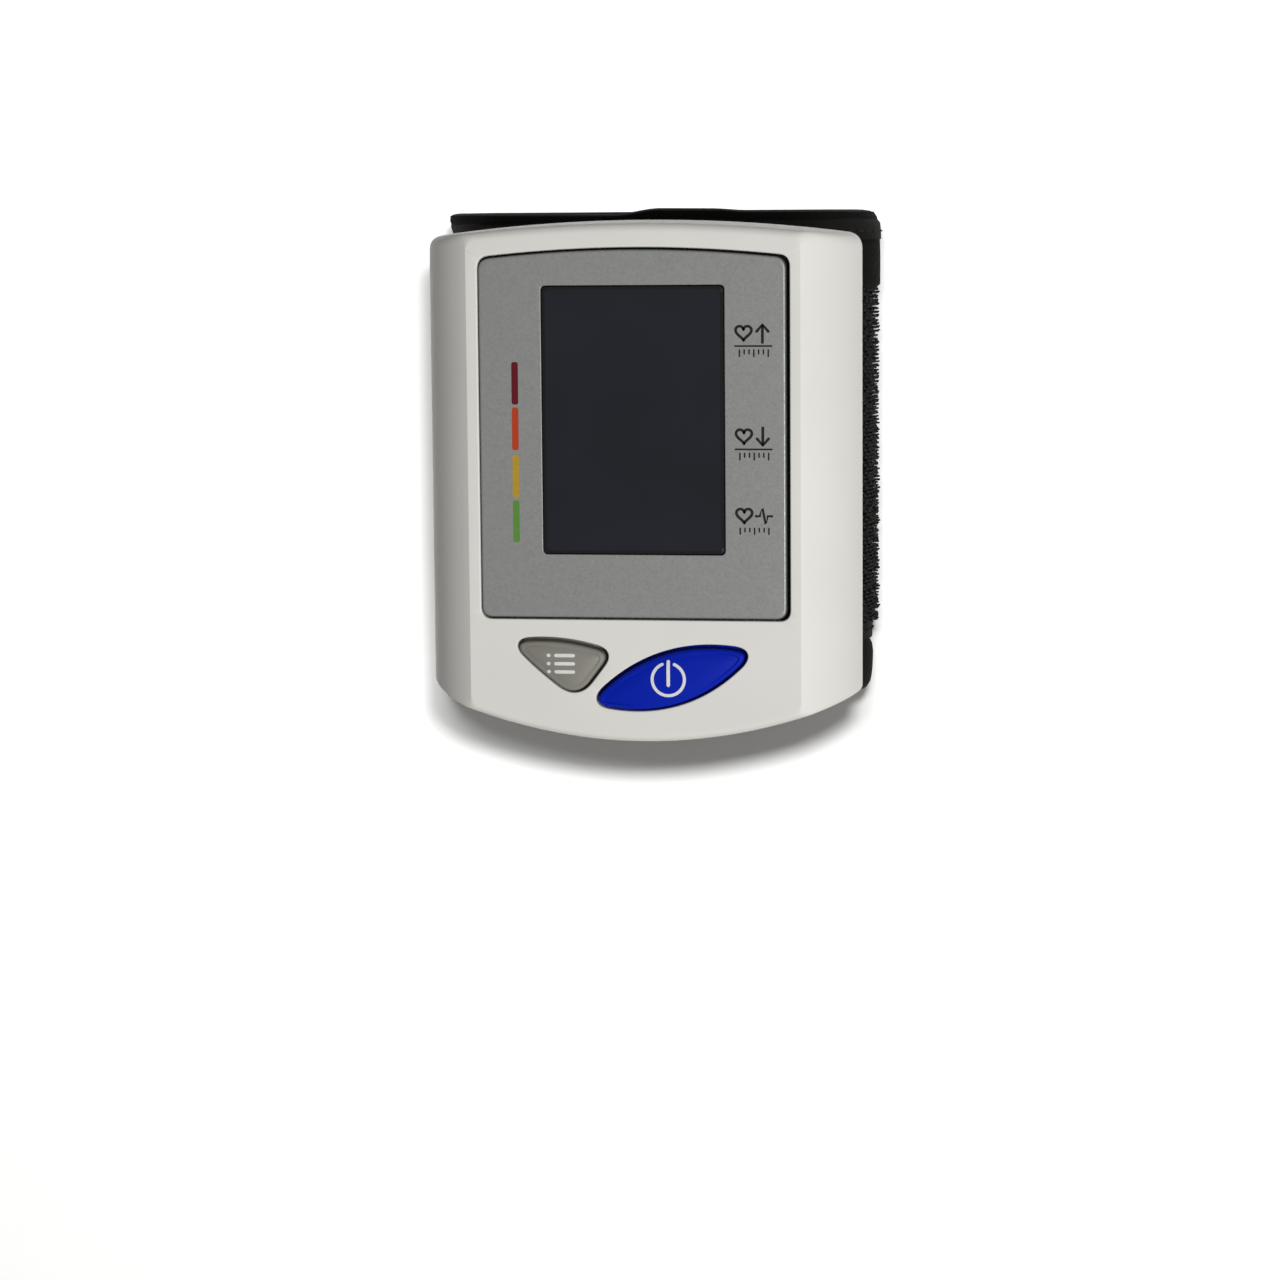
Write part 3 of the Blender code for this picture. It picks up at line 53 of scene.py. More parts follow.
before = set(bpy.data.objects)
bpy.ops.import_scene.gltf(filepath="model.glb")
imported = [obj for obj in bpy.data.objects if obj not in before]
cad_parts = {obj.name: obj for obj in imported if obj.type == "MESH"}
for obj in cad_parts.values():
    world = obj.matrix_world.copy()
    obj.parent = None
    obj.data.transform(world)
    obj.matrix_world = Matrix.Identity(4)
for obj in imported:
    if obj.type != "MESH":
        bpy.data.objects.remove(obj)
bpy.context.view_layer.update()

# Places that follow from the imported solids, with small fits of the front's outlines
CASE_LOW, CASE_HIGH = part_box("upper_case")
CASE_HALF_WIDTH = CASE_HIGH.x + 0.0006
CASE_TOP_Y, CASE_BOTTOM_Y = CASE_HIGH.y - 0.00025, CASE_LOW.y
FRONT_Z, PARTING_Z = CASE_HIGH.z, CASE_LOW.z
PANEL_LOW, PANEL_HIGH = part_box("face_panel")
WINDOW_LOW, WINDOW_HIGH = (corner.copy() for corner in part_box("display_window"))
WINDOW_LOW.y += 0.0003
WINDOW_HIGH.y -= 0.0004
BAND_LOW, BAND_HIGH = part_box("cuff_cover")
HOOKS_LOW, HOOKS_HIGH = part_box("hook_tape")
CUFF_BOTTOM_Y, CUFF_TOP_Y = BAND_LOW.y, BAND_HIGH.y
CUFF_WIDTH = CUFF_TOP_Y - CUFF_BOTTOM_Y

# Layers of the band, as distances outside the wrist opening
BLADDER_INNER = 0.0012
BLADDER_OUTER = 0.0028
BAND_OUTER = 0.0057
TAPE_INNER = 0.0060
STRAP_INNER = 0.0073
STRAP_OUTER = 0.0101
OPENING_CENTRE_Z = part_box("air_bladder")[1].z - BLADDER_OUTER - 0.0195
OPENING = (-0.0060, 0.0320, 0.0195)     # centre X, half width, half height

# Angles round the wrist opening
SHORT_END = math.radians(-70.0)
STRAP_START = math.radians(210.0)
STRAP_OUTSIDE = math.radians(275.0)
TAIL_START = math.radians(289.0)
FLAP_ROOT = math.radians(300.0)
FLAP_TIP = math.radians(335.0)
TAPE_START = math.radians(-55.0)
TAPE_END = math.radians(20.0)

# Fits and finishes that several pieces share
WINDOW_CORNER = 0.0008
INK_BELOW, INK_ABOVE = 0.00002, 0.00003   # a print reaches into its ground and above it
BEVEL_REACH = 0.0050                      # how far in from its edges the padding thins
CLOTH_INSET = 0.0004                      # from the binding's edge to the cloth's
STRAP_THINNING = 0.55                     # how much less the overlapping strap thins there
INSIDE_THINNING = 0.55                    # the inside's share of what the outside thins
CUFF_CORNER = 0.0016                      # the short end's corner, as the binding turns it
TAIL_CORNER = 0.0090
CLOTH_SHEEN = 0.005


# Settings that a user would change

def length(name, description, default):
    return bpy.props.FloatProperty(name=name, description=description, default=default,
                                   min=0.0, precision=5, unit='LENGTH', subtype='DISTANCE')


def turn(name, description, degrees):
    return bpy.props.FloatProperty(name=name, description=description,
                                   default=math.radians(degrees), unit='ROTATION',
                                   subtype='ANGLE')


def linear(code):
    """An sRGB hex value as linear red, green and blue."""
    parts = [int(code[place:place + 2], 16) / 255 for place in (1, 3, 5)]
    return tuple(part / 12.92 if part <= 0.04045 else ((part + 0.055) / 1.055) ** 2.4
                 for part in parts)


def colour(name, description, code):
    return bpy.props.FloatVectorProperty(name=name, description=description, size=3,
                                         default=linear(code), min=0.0, max=1.0,
                                         subtype='COLOR')


class HousingSettings(bpy.types.PropertyGroup):
    crease_half_width: length("Crease", "Half the width of the flat front between its creases",
                              0.0263)
    crease_slope: turn("Crease slope", "How steeply the flank leaves the flat front", 28.0)
    top_fillet: length("Top fillet", "Rounding of the arched top edge", 0.0015)
    bottom_fillet: length("Bottom fillet", "Rounding of the arched bottom edge", 0.0013)
    lip: length("Lip", "Rounding where the front turns down into a gap", 0.00022)
    abs_colour: colour("ABS", "Moulded housing plastic", "#e4e3de")
    panel_colour: colour("Panel", "Silver paint of the face panel", "#7b7c7a")
    window_colour: colour("Window", "Smoke-tinted acrylic", "#1c1e25")


class KeySettings(bpy.types.PropertyGroup):
    dome: length("Dome", "How far a key's middle stands above its rim", 0.00035)
    rim: length("Rim", "Rounding of a key's edge", 0.00060)
    memory_colour: colour("Memory key", "Grey satin moulding", "#85837a")
    power_colour: colour("Power key", "Blue satin moulding", "#0421ac")
    ink_colour: colour("Ink", "Pad-printed marks on the keys", "#e6e6e4")
    legend_colour: colour("Legend", "Screen-printed marks on the panel", "#141516")


class CuffSettings(bpy.types.PropertyGroup):
    edge_round: length("Edge rounding", "How far the padding thins towards an edge", 0.0010)
    binding_width: length("Binding", "Width of the tape folded over the edges", 0.0050)
    binding_thickness: length("Binding thickness", "Thickness of the edge tape", 0.00030)
    nose: length("Nose", "How far the folded edge rounds off", 0.0012)
    stitch: length("Stitch", "Length of one stitch", 0.0022)
    thread: length("Thread", "Diameter of the sewing thread", 0.00034)
    hook_height: length("Hook", "Height of a hook above its tape", 0.0012)
    hook_pitch: length("Hook pitch", "Distance between rows of hooks", 0.0013)
    fabric_colour: colour("Fabric", "Black brushed nylon", "#0b0a09")


class StageSettings(bpy.types.PropertyGroup):
    camera_place: bpy.props.FloatVectorProperty(
        name="Camera", description="Where the camera stands", size=3,
        default=(0.0883, 0.0403, 0.6199), unit='LENGTH', subtype='TRANSLATION')
    azimuth: turn("Azimuth", "Camera's turn towards the right side", 9.22)
    tilt: turn("Tilt", "Camera's turn towards the top edge", 6.80)
    roll: turn("Roll", "Camera's turn about its own line of sight", -0.47)
    lens: bpy.props.FloatProperty(name="Lens", description="Focal length in millimetres",
                                  default=98.44, min=10.0)
    floor_side: length("Floor", "Side of the square floor", 6.0)
    paper_colour: colour("Paper", "Seamless white paper", "#f2f2f1")


# Mesh tools

class Skin:
    """Points and faces gathered ring by ring, then turned into one piece."""

    def __init__(self):
        self.points, self.faces, self.fills = [], [], []

    def ring(self, points):
        start = len(self.points)
        self.points += [tuple(point) for point in points]
        return list(range(start, len(self.points)))

    def join(self, first, second, closed=True):
        count = len(first)
        for step in range(count if closed else count - 1):
            after = (step + 1) % count
            self.faces.append((first[step], first[after], second[after], second[step]))

    def tower(self, rings):
        """Join a row of rings one after another; returns the first and last."""
        made = [self.ring(ring) for ring in rings]
        for first, second in zip(made, made[1:]):
            self.join(first, second)
        return made[0], made[-1]

    def cap(self, ring):
        self.faces.append(tuple(ring))

    def plug(self, rings):
        """A row of rings with a face at either end."""
        for end in self.tower(rings):
            self.cap(end)

    def close_flat(self, loop):
        """Close a long loop, whose second half runs back beside the first, with narrow faces."""
        for step in range(len(loop) // 2 - 1):
            self.faces.append((loop[step], loop[step + 1], loop[-2 - step], loop[-1 - step]))

    def fill(self, *rings):
        """Fill the flat region between an outer ring and the rings inside it."""
        self.fills.append(rings)

    def piece(self, name, material, body, sharp=math.radians(40.0)):
        mesh = bpy.data.meshes.new(name)
        built = bmesh.new()
        corners = [built.verts.new(point) for point in self.points]
        for face in self.faces:
            built.faces.new([corners[index] for index in face])
        for rings in self.fills:
            edges = []
            for ring in rings:
                for here, after in zip(ring, ring[1:] + ring[:1]):
                    pair = (corners[here], corners[after])
                    edges.append(built.edges.get(pair) or built.edges.new(pair))
            bmesh.ops.triangle_fill(built, use_beauty=True, edges=edges)
        bmesh.ops.recalc_face_normals(built, faces=built.faces)
        built.to_mesh(mesh)
        built.free()
        mesh.materials.append(material)
        mesh.shade_smooth()
        mesh.set_sharp_from_angle(angle=sharp)
        made = bpy.data.objects.new(name, mesh)
        bpy.context.scene.collection.objects.link(made)
        if body:
            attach(made, body)
        return made


def weigh_normals(piece):
    """Keep broad flat faces flat where they run into small roundings."""
    step = piece.modifiers.new("weighted_normals", 'WEIGHTED_NORMAL')
    step.keep_sharp = True
    step.weight = 80
    return piece


def level(outline, height):
    return [(x, y, height) for x, y in outline]


def offset_outline(outline, distance):
    """Move an anticlockwise outline outwards by a distance, corners included."""
    moved = []
    for index, place in enumerate(outline):
        before, here = Vector(outline[index - 1]), Vector(place)
        after = Vector(outline[(index + 1) % len(outline)])
        edge_in, edge_out = (here - before).normalized(), (after - here).normalized()
        normal_in = Vector((edge_in.y, -edge_in.x))
        mitre = (normal_in + Vector((edge_out.y, -edge_out.x))).normalized()
        moved.append(tuple(here + mitre * (distance / max(mitre.dot(normal_in), 0.5))))
    return moved


def rounded_shape(corners, bulges, cutbacks, edge_steps=20, corner_steps=12):
    """Outline with a curved edge from each corner to the next and softened corners."""
    count = len(corners)

    def on_edge(index, share):
        start, end = Vector(corners[index]), Vector(corners[(index + 1) % count])
        run = end - start
        outward = Vector((run.y, -run.x)).normalized()
        return start + run * share + outward * (4 * bulges[index] * share * (1 - share))

    outline = []
    for index in range(count):
        following = (index + 1) % count
        run = (Vector(corners[following]) - Vector(corners[index])).length
        next_run = (Vector(corners[(following + 1) % count]) - Vector(corners[following])).length
        first, last = cutbacks[index] / run, 1 - cutbacks[following] / run
        for step in range(edge_steps + 1):
            outline.append(on_edge(index, first + (last - first) * step / edge_steps))
        start, tip = outline[-1], Vector(corners[following])
        end = on_edge(following, cutbacks[following] / next_run)
        for step in range(1, corner_steps):
            share = step / corner_steps
            outline.append(start * (1 - share) ** 2 + tip * 2 * share * (1 - share)
                           + end * share ** 2)
    return [tuple(point) for point in outline]


def rounded_rectangle(low, high, corner, steps=8):
    return rounded_shape([(low[0], low[1]), (high[0], low[1]), (high[0], high[1]),
                          (low[0], high[1])], [0.0] * 4, [corner] * 4, 1, steps)


def quarter(steps):
    """Shares of a quarter turn, as (sine, cosine) pairs from the top of a rounding."""
    angles = [math.pi / 2 * step / steps for step in range(steps + 1)]
    return [(math.sin(angle), math.cos(angle)) for angle in angles]


def rounded_top(outline, bottom, top, radius, steps=4):
    """Rings of a plug with a rounded upper edge, from its bottom to its top."""
    rings = [level(outline, bottom)]
    for sine, cosine in reversed(quarter(steps)):
        rings.append(level(offset_outline(outline, -radius * (1 - sine)),
                           top - radius * (1 - cosine)))
    return rings


def rounded_mouth(outline, top, bottom, radius, steps=4):
    """Rings of a hole with a rounded mouth, from the face it opens in to its bottom."""
    rings = []
    for sine, cosine in quarter(steps):
        rings.append(level(offset_outline(outline, radius * (1 - sine)),
                           top - radius * (1 - cosine)))
    return rings + [level(outline, bottom)]


# Materials

def add_node(tree, kind, settings):
    """Add a shader node; a setting is an attribute, or a value or a link for a socket."""
    node = tree.nodes.new(f"ShaderNode{kind}")
    for key, value in settings.items():
        if isinstance(value, bpy.types.NodeSocket):
            tree.links.new(value, node.inputs[key])
        elif isinstance(key, int) or key in node.inputs:
            node.inputs[key].default_value = value
        else:
            setattr(node, key, value)
    return node


def reckon(tree, operation, *operands):
    """A sum on patterns: each operand is a number or another node's output."""
    settings = {"operation": operation, **dict(enumerate(operands))}
    return add_node(tree, "Math", settings).outputs["Value"]


def shaded(rgb, factor):
    return tuple(min(part * factor, 1.0) for part in rgb)


def grain(millimetres):
    """Texture scale at which one cell of a pattern is that many millimetres across."""
    return 1000.0 / millimetres


class Finish:
    """A material with one Principled shader, and the patterns that feed it."""

    def __init__(self, name, settings):
        self.material = bpy.data.materials.new(name)
        self.material.use_nodes = True
        self.tree = self.material.node_tree
        self.shader = self.tree.nodes["Principled BSDF"]
        for key, value in settings.items():
            self.shader.inputs[key].default_value = value
        self.place = add_node(self.tree, "TexCoord", {}).outputs["Object"]

    def pattern(self, kind, size, settings, place=None):
        """A texture whose cells are that many millimetres across."""
        return add_node(self.tree, kind, {
            "Scale": grain(size), **settings,
            "Vector": self.place if place is None else place}).outputs

    def noise(self, size, detail, distortion=0.0, place=None):
        """A cloudy pattern from 0 to 1."""
        return self.pattern("TexNoise", size, {"Detail": detail, "Distortion": distortion},
                            place)["Fac"]

    def feed(self, socket, source):
        self.tree.links.new(source, self.shader.inputs[socket])

    def colours(self, pattern, low, high, rgb, first, second):
        """A colour times first to times second, as a pattern goes from low to high."""
        ramp = add_node(self.tree, "ValToRGB", {"Fac": pattern})
        for stop, place, factor in zip(ramp.color_ramp.elements, (low, high), (first, second)):
            stop.position, stop.color = place, (*shaded(rgb, factor), 1.0)
        self.feed("Base Color", ramp.outputs["Color"])

    def roughness(self, pattern, first, second):
        """A roughness from first to second, as a pattern goes from 0 to 1."""
        mapped = add_node(self.tree, "MapRange", {"To Min": first, "To Max": second,
                                                  "Value": pattern})
        self.feed("Roughness", mapped.outputs["Result"])

    def relief(self, height, strength, depth):
        """Fine bumps that follow a pattern, that many metres deep."""
        bump = add_node(self.tree, "Bump", {"Strength": strength, "Distance": depth,
                                            "Height": height})
        self.feed("Normal", bump.outputs["Normal"])


def moulded_plastic(name, rgb, roughness=0.46, texture=0.35, depth=0.000012, specular=0.3):
    """Injection-moulded plastic: spark-eroded grain, faint flow clouds, satin sheen."""
    finish = Finish(name, {"IOR": 1.53, "Specular IOR Level": specular})
    clouds = finish.noise(22.0, 3.0)
    finish.colours(clouds, 0.3, 0.7, rgb, 0.97, 1.02)
    finish.roughness(clouds, roughness - 0.05, roughness + 0.05)
    finish.relief(finish.noise(texture, 2.0), 0.6, depth)
    return finish.material


def silver_paint(rgb):
    """Silver paint on ABS: aluminium flakes of 0.1 mm, drawn at 0.3 mm so that they show."""
    finish = Finish("silver_painted_abs", {"IOR": 1.5, "Metallic": 0.65,
                                           "Specular IOR Level": 0.45})
    flakes = finish.pattern("TexVoronoi", 0.3, {})
    speck = add_node(finish.tree, "SeparateColor", {"Color": flakes["Color"]}).outputs
    both = reckon(finish.tree, 'MULTIPLY', speck["Red"], 0.55)
    mixed = reckon(finish.tree, 'MULTIPLY_ADD', finish.noise(0.35, 4.0), 0.45, both)
    finish.colours(mixed, 0.12, 0.72, rgb, 0.93, 1.07)
    finish.roughness(speck["Green"], 0.52, 0.38)
    finish.relief(mixed, 0.25, 0.00001)
    return finish.material


def smoked_acrylic(rgb):
    """Tinted acrylic: nearly black, glossy, with the faint haze of a wiped surface."""
    finish = Finish("smoked_acrylic", {"IOR": 1.49, "Specular IOR Level": 0.12})
    haze = finish.noise(16.0, 5.0, 0.6)
    finish.colours(haze, 0.3, 0.75, rgb, 0.9, 1.15)
    finish.roughness(haze, 0.22, 0.34)
    return finish.material


def printed_ink(name, rgb, roughness=0.55):
    """Pad-printed ink: a matt film with a slightly uneven body."""
    finish = Finish(name, {"IOR": 1.5, "Roughness": roughness, "Specular IOR Level": 0.15})
    finish.colours(finish.noise(0.9, 3.0), 0.3, 0.7, rgb, 0.93, 1.04)
    return finish.material


def brushed_nylon(name, rgb, pile=0.55, depth=0.00012):
    """Brushed nylon: raised loops of 0.2 mm drawn at about 0.5 mm, soft sheen, lint."""
    finish = Finish(name, {"IOR": 1.5, "Roughness": 0.92, "Specular IOR Level": 0.06,
                           "Sheen Weight": CLOTH_SHEEN, "Sheen Roughness": 0.5})
    tuft = finish.pattern("TexVoronoi", pile, {})["Distance"]
    fibre = finish.noise(pile * 0.6, 4.0, 1.2)
    weave = reckon(finish.tree, 'MULTIPLY', fibre, finish.noise(14.0, 3.0))
    finish.colours(weave, 0.12, 0.42, rgb, 0.6, 1.7)
    finish.relief(reckon(finish.tree, 'SUBTRACT', fibre, tuft), 0.8, depth)
    return finish.material


def woven_tape(name, rgb, rib=0.6):
    """Grosgrain tape: cross ribs over fine warp threads, a dull satin.

    A wave takes a third of the texture's cell, so the ribs are drawn six times as wide as real
    ones, 3.8 mm for 0.6 mm.
    """
    finish = Finish(name, {"IOR": 1.5, "Roughness": 0.8, "Specular IOR Level": 0.08,
                           "Sheen Weight": CLOTH_SHEEN})
    ribs = finish.pattern("TexWave", rib * 20.0, {
        "Distortion": 0.4, "Detail": 1.0, "bands_direction": 'Y'})["Fac"]
    height = reckon(finish.tree, 'MULTIPLY_ADD', finish.noise(0.35, 3.0), 0.6, ribs)
    finish.colours(height, 0.3, 1.3, rgb, 0.6, 1.6)
    finish.relief(height, 0.7, 0.00008)
    return finish.material


def plated_metal(name, rgb, roughness=0.3, brushed=0.0):
    """Plated or bare metal: the base colour is its reflection, dulled by fine scratches."""
    finish = Finish(name, {"Metallic": 1.0})
    drawn = add_node(finish.tree, "Mapping", {"Scale": (1.0, 1.0 - 0.9 * brushed, 1.0),
                                              "Vector": finish.place}).outputs["Vector"]
    scratches = finish.noise(0.5, 4.0, place=drawn)
    finish.colours(scratches, 0.25, 0.75, rgb, 0.85, 1.0)
    finish.roughness(scratches, roughness - 0.08, roughness + 0.12)
    return finish.material


def solder_mask(rgb, copper):
    """Fibreglass board: green lacquer over a net of fine copper tracks."""
    finish = Finish("solder_masked_fibreglass", {"IOR": 1.5, "Roughness": 0.38})
    tracks = finish.pattern("TexBrick", 6.0, {
        "Mortar Size": 0.05, "Color1": (*rgb, 1.0), "Color2": (*shaded(rgb, 0.85), 1.0),
        "Mortar": (*copper, 1.0)})
    finish.feed("Base Color", tracks["Color"])
    finish.relief(tracks["Fac"], 0.5, 0.00003)
    return finish.material


def translucent(name, rgb, roughness=0.4, passing=0.0):
    """Silicone, film or glass: light goes a little way in and softens the edges."""
    finish = Finish(name, {"IOR": 1.43, "Transmission Weight": passing,
                           "Subsurface Weight": 0.15,
                           "Subsurface Radius": (0.002, 0.0018, 0.0015)})
    milky = finish.noise(5.0, 2.0)
    finish.colours(milky, 0.3, 0.7, rgb, 0.94, 1.04)
    finish.roughness(milky, roughness - 0.05, roughness + 0.05)
    return finish.material


def seen_rays(tree):
    """1 for rays that show a thing, straight, mirrored or through glass; 0 for its light."""
    rays = add_node(tree, "LightPath", {}).outputs
    mirrored = reckon(tree, 'MAXIMUM', rays["Is Camera Ray"], rays["Is Glossy Ray"])
    return reckon(tree, 'MAXIMUM', mirrored, rays["Is Transmission Ray"])


def show_and_light(tree, lit, shown, output):
    """One shader for the light that a thing sends out, another where it is seen."""
    both = add_node(tree, "MixShader", {"Fac": seen_rays(tree), 1: lit, 2: shown})
    tree.links.new(both.outputs["Shader"], tree.nodes[output].inputs["Surface"])


def dress(nodes, material, sharp=math.radians(30.0)):
    """Give CAD nodes that stay visible their finish and smooth their shading."""
    for name in nodes:
        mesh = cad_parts[name].data
        mesh.materials.clear()
        mesh.materials.append(material)
        mesh.shade_smooth()
        mesh.set_sharp_from_angle(angle=sharp)


# Outlines of the front

def flank_point(share, crease_half_width, slope):
    """Half width and height on the curved flank, from the parting line to the crease."""
    start, end = Vector((CASE_HALF_WIDTH, PARTING_Z)), Vector((crease_half_width, FRONT_Z))
    upright, shoulder = 0.0075, 0.0045
    lower = start + Vector((0.0, upright))
    upper = end + Vector((math.cos(slope), -math.sin(slope))) * shoulder
    rest = 1 - share
    return (start * rest ** 3 + lower * 3 * rest ** 2 * share
            + upper * 3 * rest * share ** 2 + end * share ** 3)


def fillet_inset(depth, radius):
    """How far a rounded edge lies inwards at a depth below its top."""
    left = min(max(radius - depth, 0.0), radius)
    return radius - math.sqrt(radius ** 2 - left ** 2)


def case_outline(half_width, top_inset, bottom_inset, corner_share):
    """The housing seen from the front at one height, with an arched top and bottom.

    Higher up, the top edge leans back and its corners get sharper. The bottom edge tilts a
    little, its left corner up.
    """
    widen = (half_width / CASE_HALF_WIDTH) ** 2
    top_fall, bottom_rise, tilt = 0.0024 * widen, 0.0076 * widen, 0.0005 * widen
    top = CASE_TOP_Y - 0.0005 * corner_share - top_inset - top_fall
    bottom = CASE_BOTTOM_Y + bottom_inset + bottom_rise
    top_corner, bottom_corner = 0.0024 - 0.0010 * corner_share, 0.0009
    return rounded_shape([(-half_width, bottom + tilt), (half_width, bottom - tilt),
                          (half_width, top), (-half_width, top)],
                         [bottom_rise, 0.0, top_fall, 0.0],
                         [bottom_corner, bottom_corner, top_corner, top_corner], 26, 12)


def panel_outline(left_gap=0.0, right_gap=0.0, top_gap=0.0, bottom_gap=0.0):
    arch = 0.0014
    left, right = PANEL_LOW.x - left_gap, PANEL_HIGH.x + right_gap
    bottom, top = PANEL_LOW.y + 0.0008 - bottom_gap, PANEL_HIGH.y - 0.0006 + top_gap - arch
    return rounded_shape([(left, bottom), (right, bottom), (right, top), (left, top)],
                         [0.0, 0.0, arch, 0.0], [0.0018] * 4, 20, 10)


def window_outline(inset=0.0):
    """The window's outline, or one that lies inside it, or outside with a minus sign."""
    return rounded_rectangle((WINDOW_LOW.x + inset, WINDOW_LOW.y + inset),
                             (WINDOW_HIGH.x - inset, WINDOW_HIGH.y - inset), WINDOW_CORNER)


def memory_outline():
    return rounded_shape(((-0.0195, -0.0255), (-0.0093, -0.0341), (-0.0040, -0.0271)),
                         (0.0004, 0.0, 0.0010), (0.0026, 0.0034, 0.0022), 16, 12)


def power_outline():
    return rounded_shape(((-0.0070, -0.0349), (0.0184, -0.0268)), (0.0041, 0.0038),
                         (0.0024, 0.0024), 30, 12)


def key_hole(outline):
    """The hole round a key, a little off centre as the moulding is."""
    return [(x + 0.00012, y + 0.00020) for x, y in offset_outline(outline, 0.0005)]


# Round the wrist

def wrap_point(angle, distance, y):
    """A point a given distance outside the wrist opening, never below the resting plane."""
    centre_x, half_width, half_height = OPENING
    point = Vector((centre_x + half_width * math.cos(angle), y,
                    OPENING_CENTRE_Z + half_height * math.sin(angle)))
    point += outward_at(angle) * distance
    point.x += lean_in(angle, y)
    point.z = max(point.z, 0.0)
    return point


def lean_in(angle, y):
    """The soft left side sinks inwards, most of all near its upper edge."""
    turned = math.degrees(angle) % 360
    left = smooth(turned, 120.0, 165.0) * (1 - smooth(turned, 190.0, 235.0))
    return left * (0.0014 + 0.0034 * smooth(y, 0.030, 0.0375)
                   - 0.0018 * smooth(y, 0.0385, CUFF_TOP_Y))


def outward_at(angle):
    return Vector((math.cos(angle) / OPENING[1], 0.0, math.sin(angle) / OPENING[2])).normalized()


def arc_rate(angle, distance):
    """Metres of arc for one radian of the angle."""
    step = 0.001
    return (wrap_point(angle + step, distance, 0.0)
            - wrap_point(angle, distance, 0.0)).length / step


def strap_share(angle):
    """From 0 where the band lies on the wrist to 1 where it lies over its short end."""
    return smooth(angle, STRAP_START, STRAP_OUTSIDE)


def band_inner(angle):
    return STRAP_INNER * strap_share(angle)


def band_outer(angle):
    return BAND_OUTER + (STRAP_OUTER - BAND_OUTER) * strap_share(angle)


def spread(start, end, step):
    """Even places from start to end, about one step apart."""
    count = max(2, round(abs(end - start) / step))
    return [start + (end - start) * index / count for index in range(count + 1)]


def crumple(angle, y, size, height):
    """Soft fabric unevenness: size is the width of a wrinkle and height its depth."""
    place = Vector((math.cos(angle) * 0.04, math.sin(angle) * 0.03, y)) / size
    return height * noise.noise(place)


def edge_fall(y, low, high):
    """From 0 in the middle of the band to 1 at its two edges."""
    share = min(max(1 - min(y - low, high - y) / BEVEL_REACH, 0.0), 1.0)
    return 1 - math.sqrt(max(1 - share * share, 0.0))


def cloth(name, angles, edges, inner, outer, material, body, y_step=0.0014):
    """A layer of cloth: a grid on its outside and one on its inside, joined at the rim."""
    columns = round(CUFF_WIDTH / y_step)
    loops = []
    for angle in angles:
        low, high = edges(angle)
        ys = [low + (high - low) * (0.5 - 0.5 * math.cos(math.pi * step / columns)) * 0.35
              + (high - low) * step / columns * 0.65 for step in range(columns + 1)]
        over = [wrap_point(angle, outer(angle, y), y) for y in ys]
        under = [wrap_point(angle, inner(angle, y), y) for y in reversed(ys)]
        loops.append(over + under)
    skin = Skin()
    for loop in skin.tower(loops):
        skin.close_flat(loop)
    return skin.piece(name, material, body)


def smooth(value, low, high):
    """From 0 at low to 1 at high, level at both ends."""
    share = min(max((value - low) / (high - low), 0.0), 1.0)
    return share * share * (3 - 2 * share)


def top_rise(angle):
    """The wound cuff falls a little to the right, with a step up near its middle."""
    across = OPENING[0] + OPENING[1] * math.cos(angle)
    fall = 0.00008 + 0.00054 * min((across + 0.038) / 0.046, 1.0)
    step = 0.00097 * smooth(across, -0.0075, -0.0005) - 0.00031 * smooth(across, 0.0074, 0.0125)
    return (step - fall) * smooth(math.sin(angle), -0.5, 0.0)


def low_edge(angle):
    """The lower edge runs a little higher on the right."""
    return CUFF_BOTTOM_Y + 0.0018 * smooth(math.cos(angle), 0.1, 0.8)


def high_edge(angle):
    return CUFF_TOP_Y + top_rise(angle)


def whole_width(angle):
    return low_edge(angle) + CLOTH_INSET, high_edge(angle) - CLOTH_INSET


def thickening(angle, y):
    """The cover is folded double above the hook tape, at the upper right."""
    turned = math.degrees(angle)
    around = smooth(turned, -36.0, -24.0) * (1 - smooth(turned, 30.0, 70.0))
    return around * (0.0020 * smooth(y, HOOKS_HIGH.y - 0.0030, HOOKS_HIGH.y - 0.0018)
                     + 0.0008 * smooth(-y, -HOOKS_LOW.y, -HOOKS_LOW.y + 0.0020))


def tail_width(angle):
    """The free end's lower and upper edge; its tip has two rounded corners."""
    round_in = fillet_inset((FLAP_TIP - angle) * (OPENING[1] + STRAP_INNER), TAIL_CORNER)
    return low_edge(angle) + CLOTH_INSET + round_in, CUFF_TOP_Y - CLOTH_INSET - round_in


# Operators

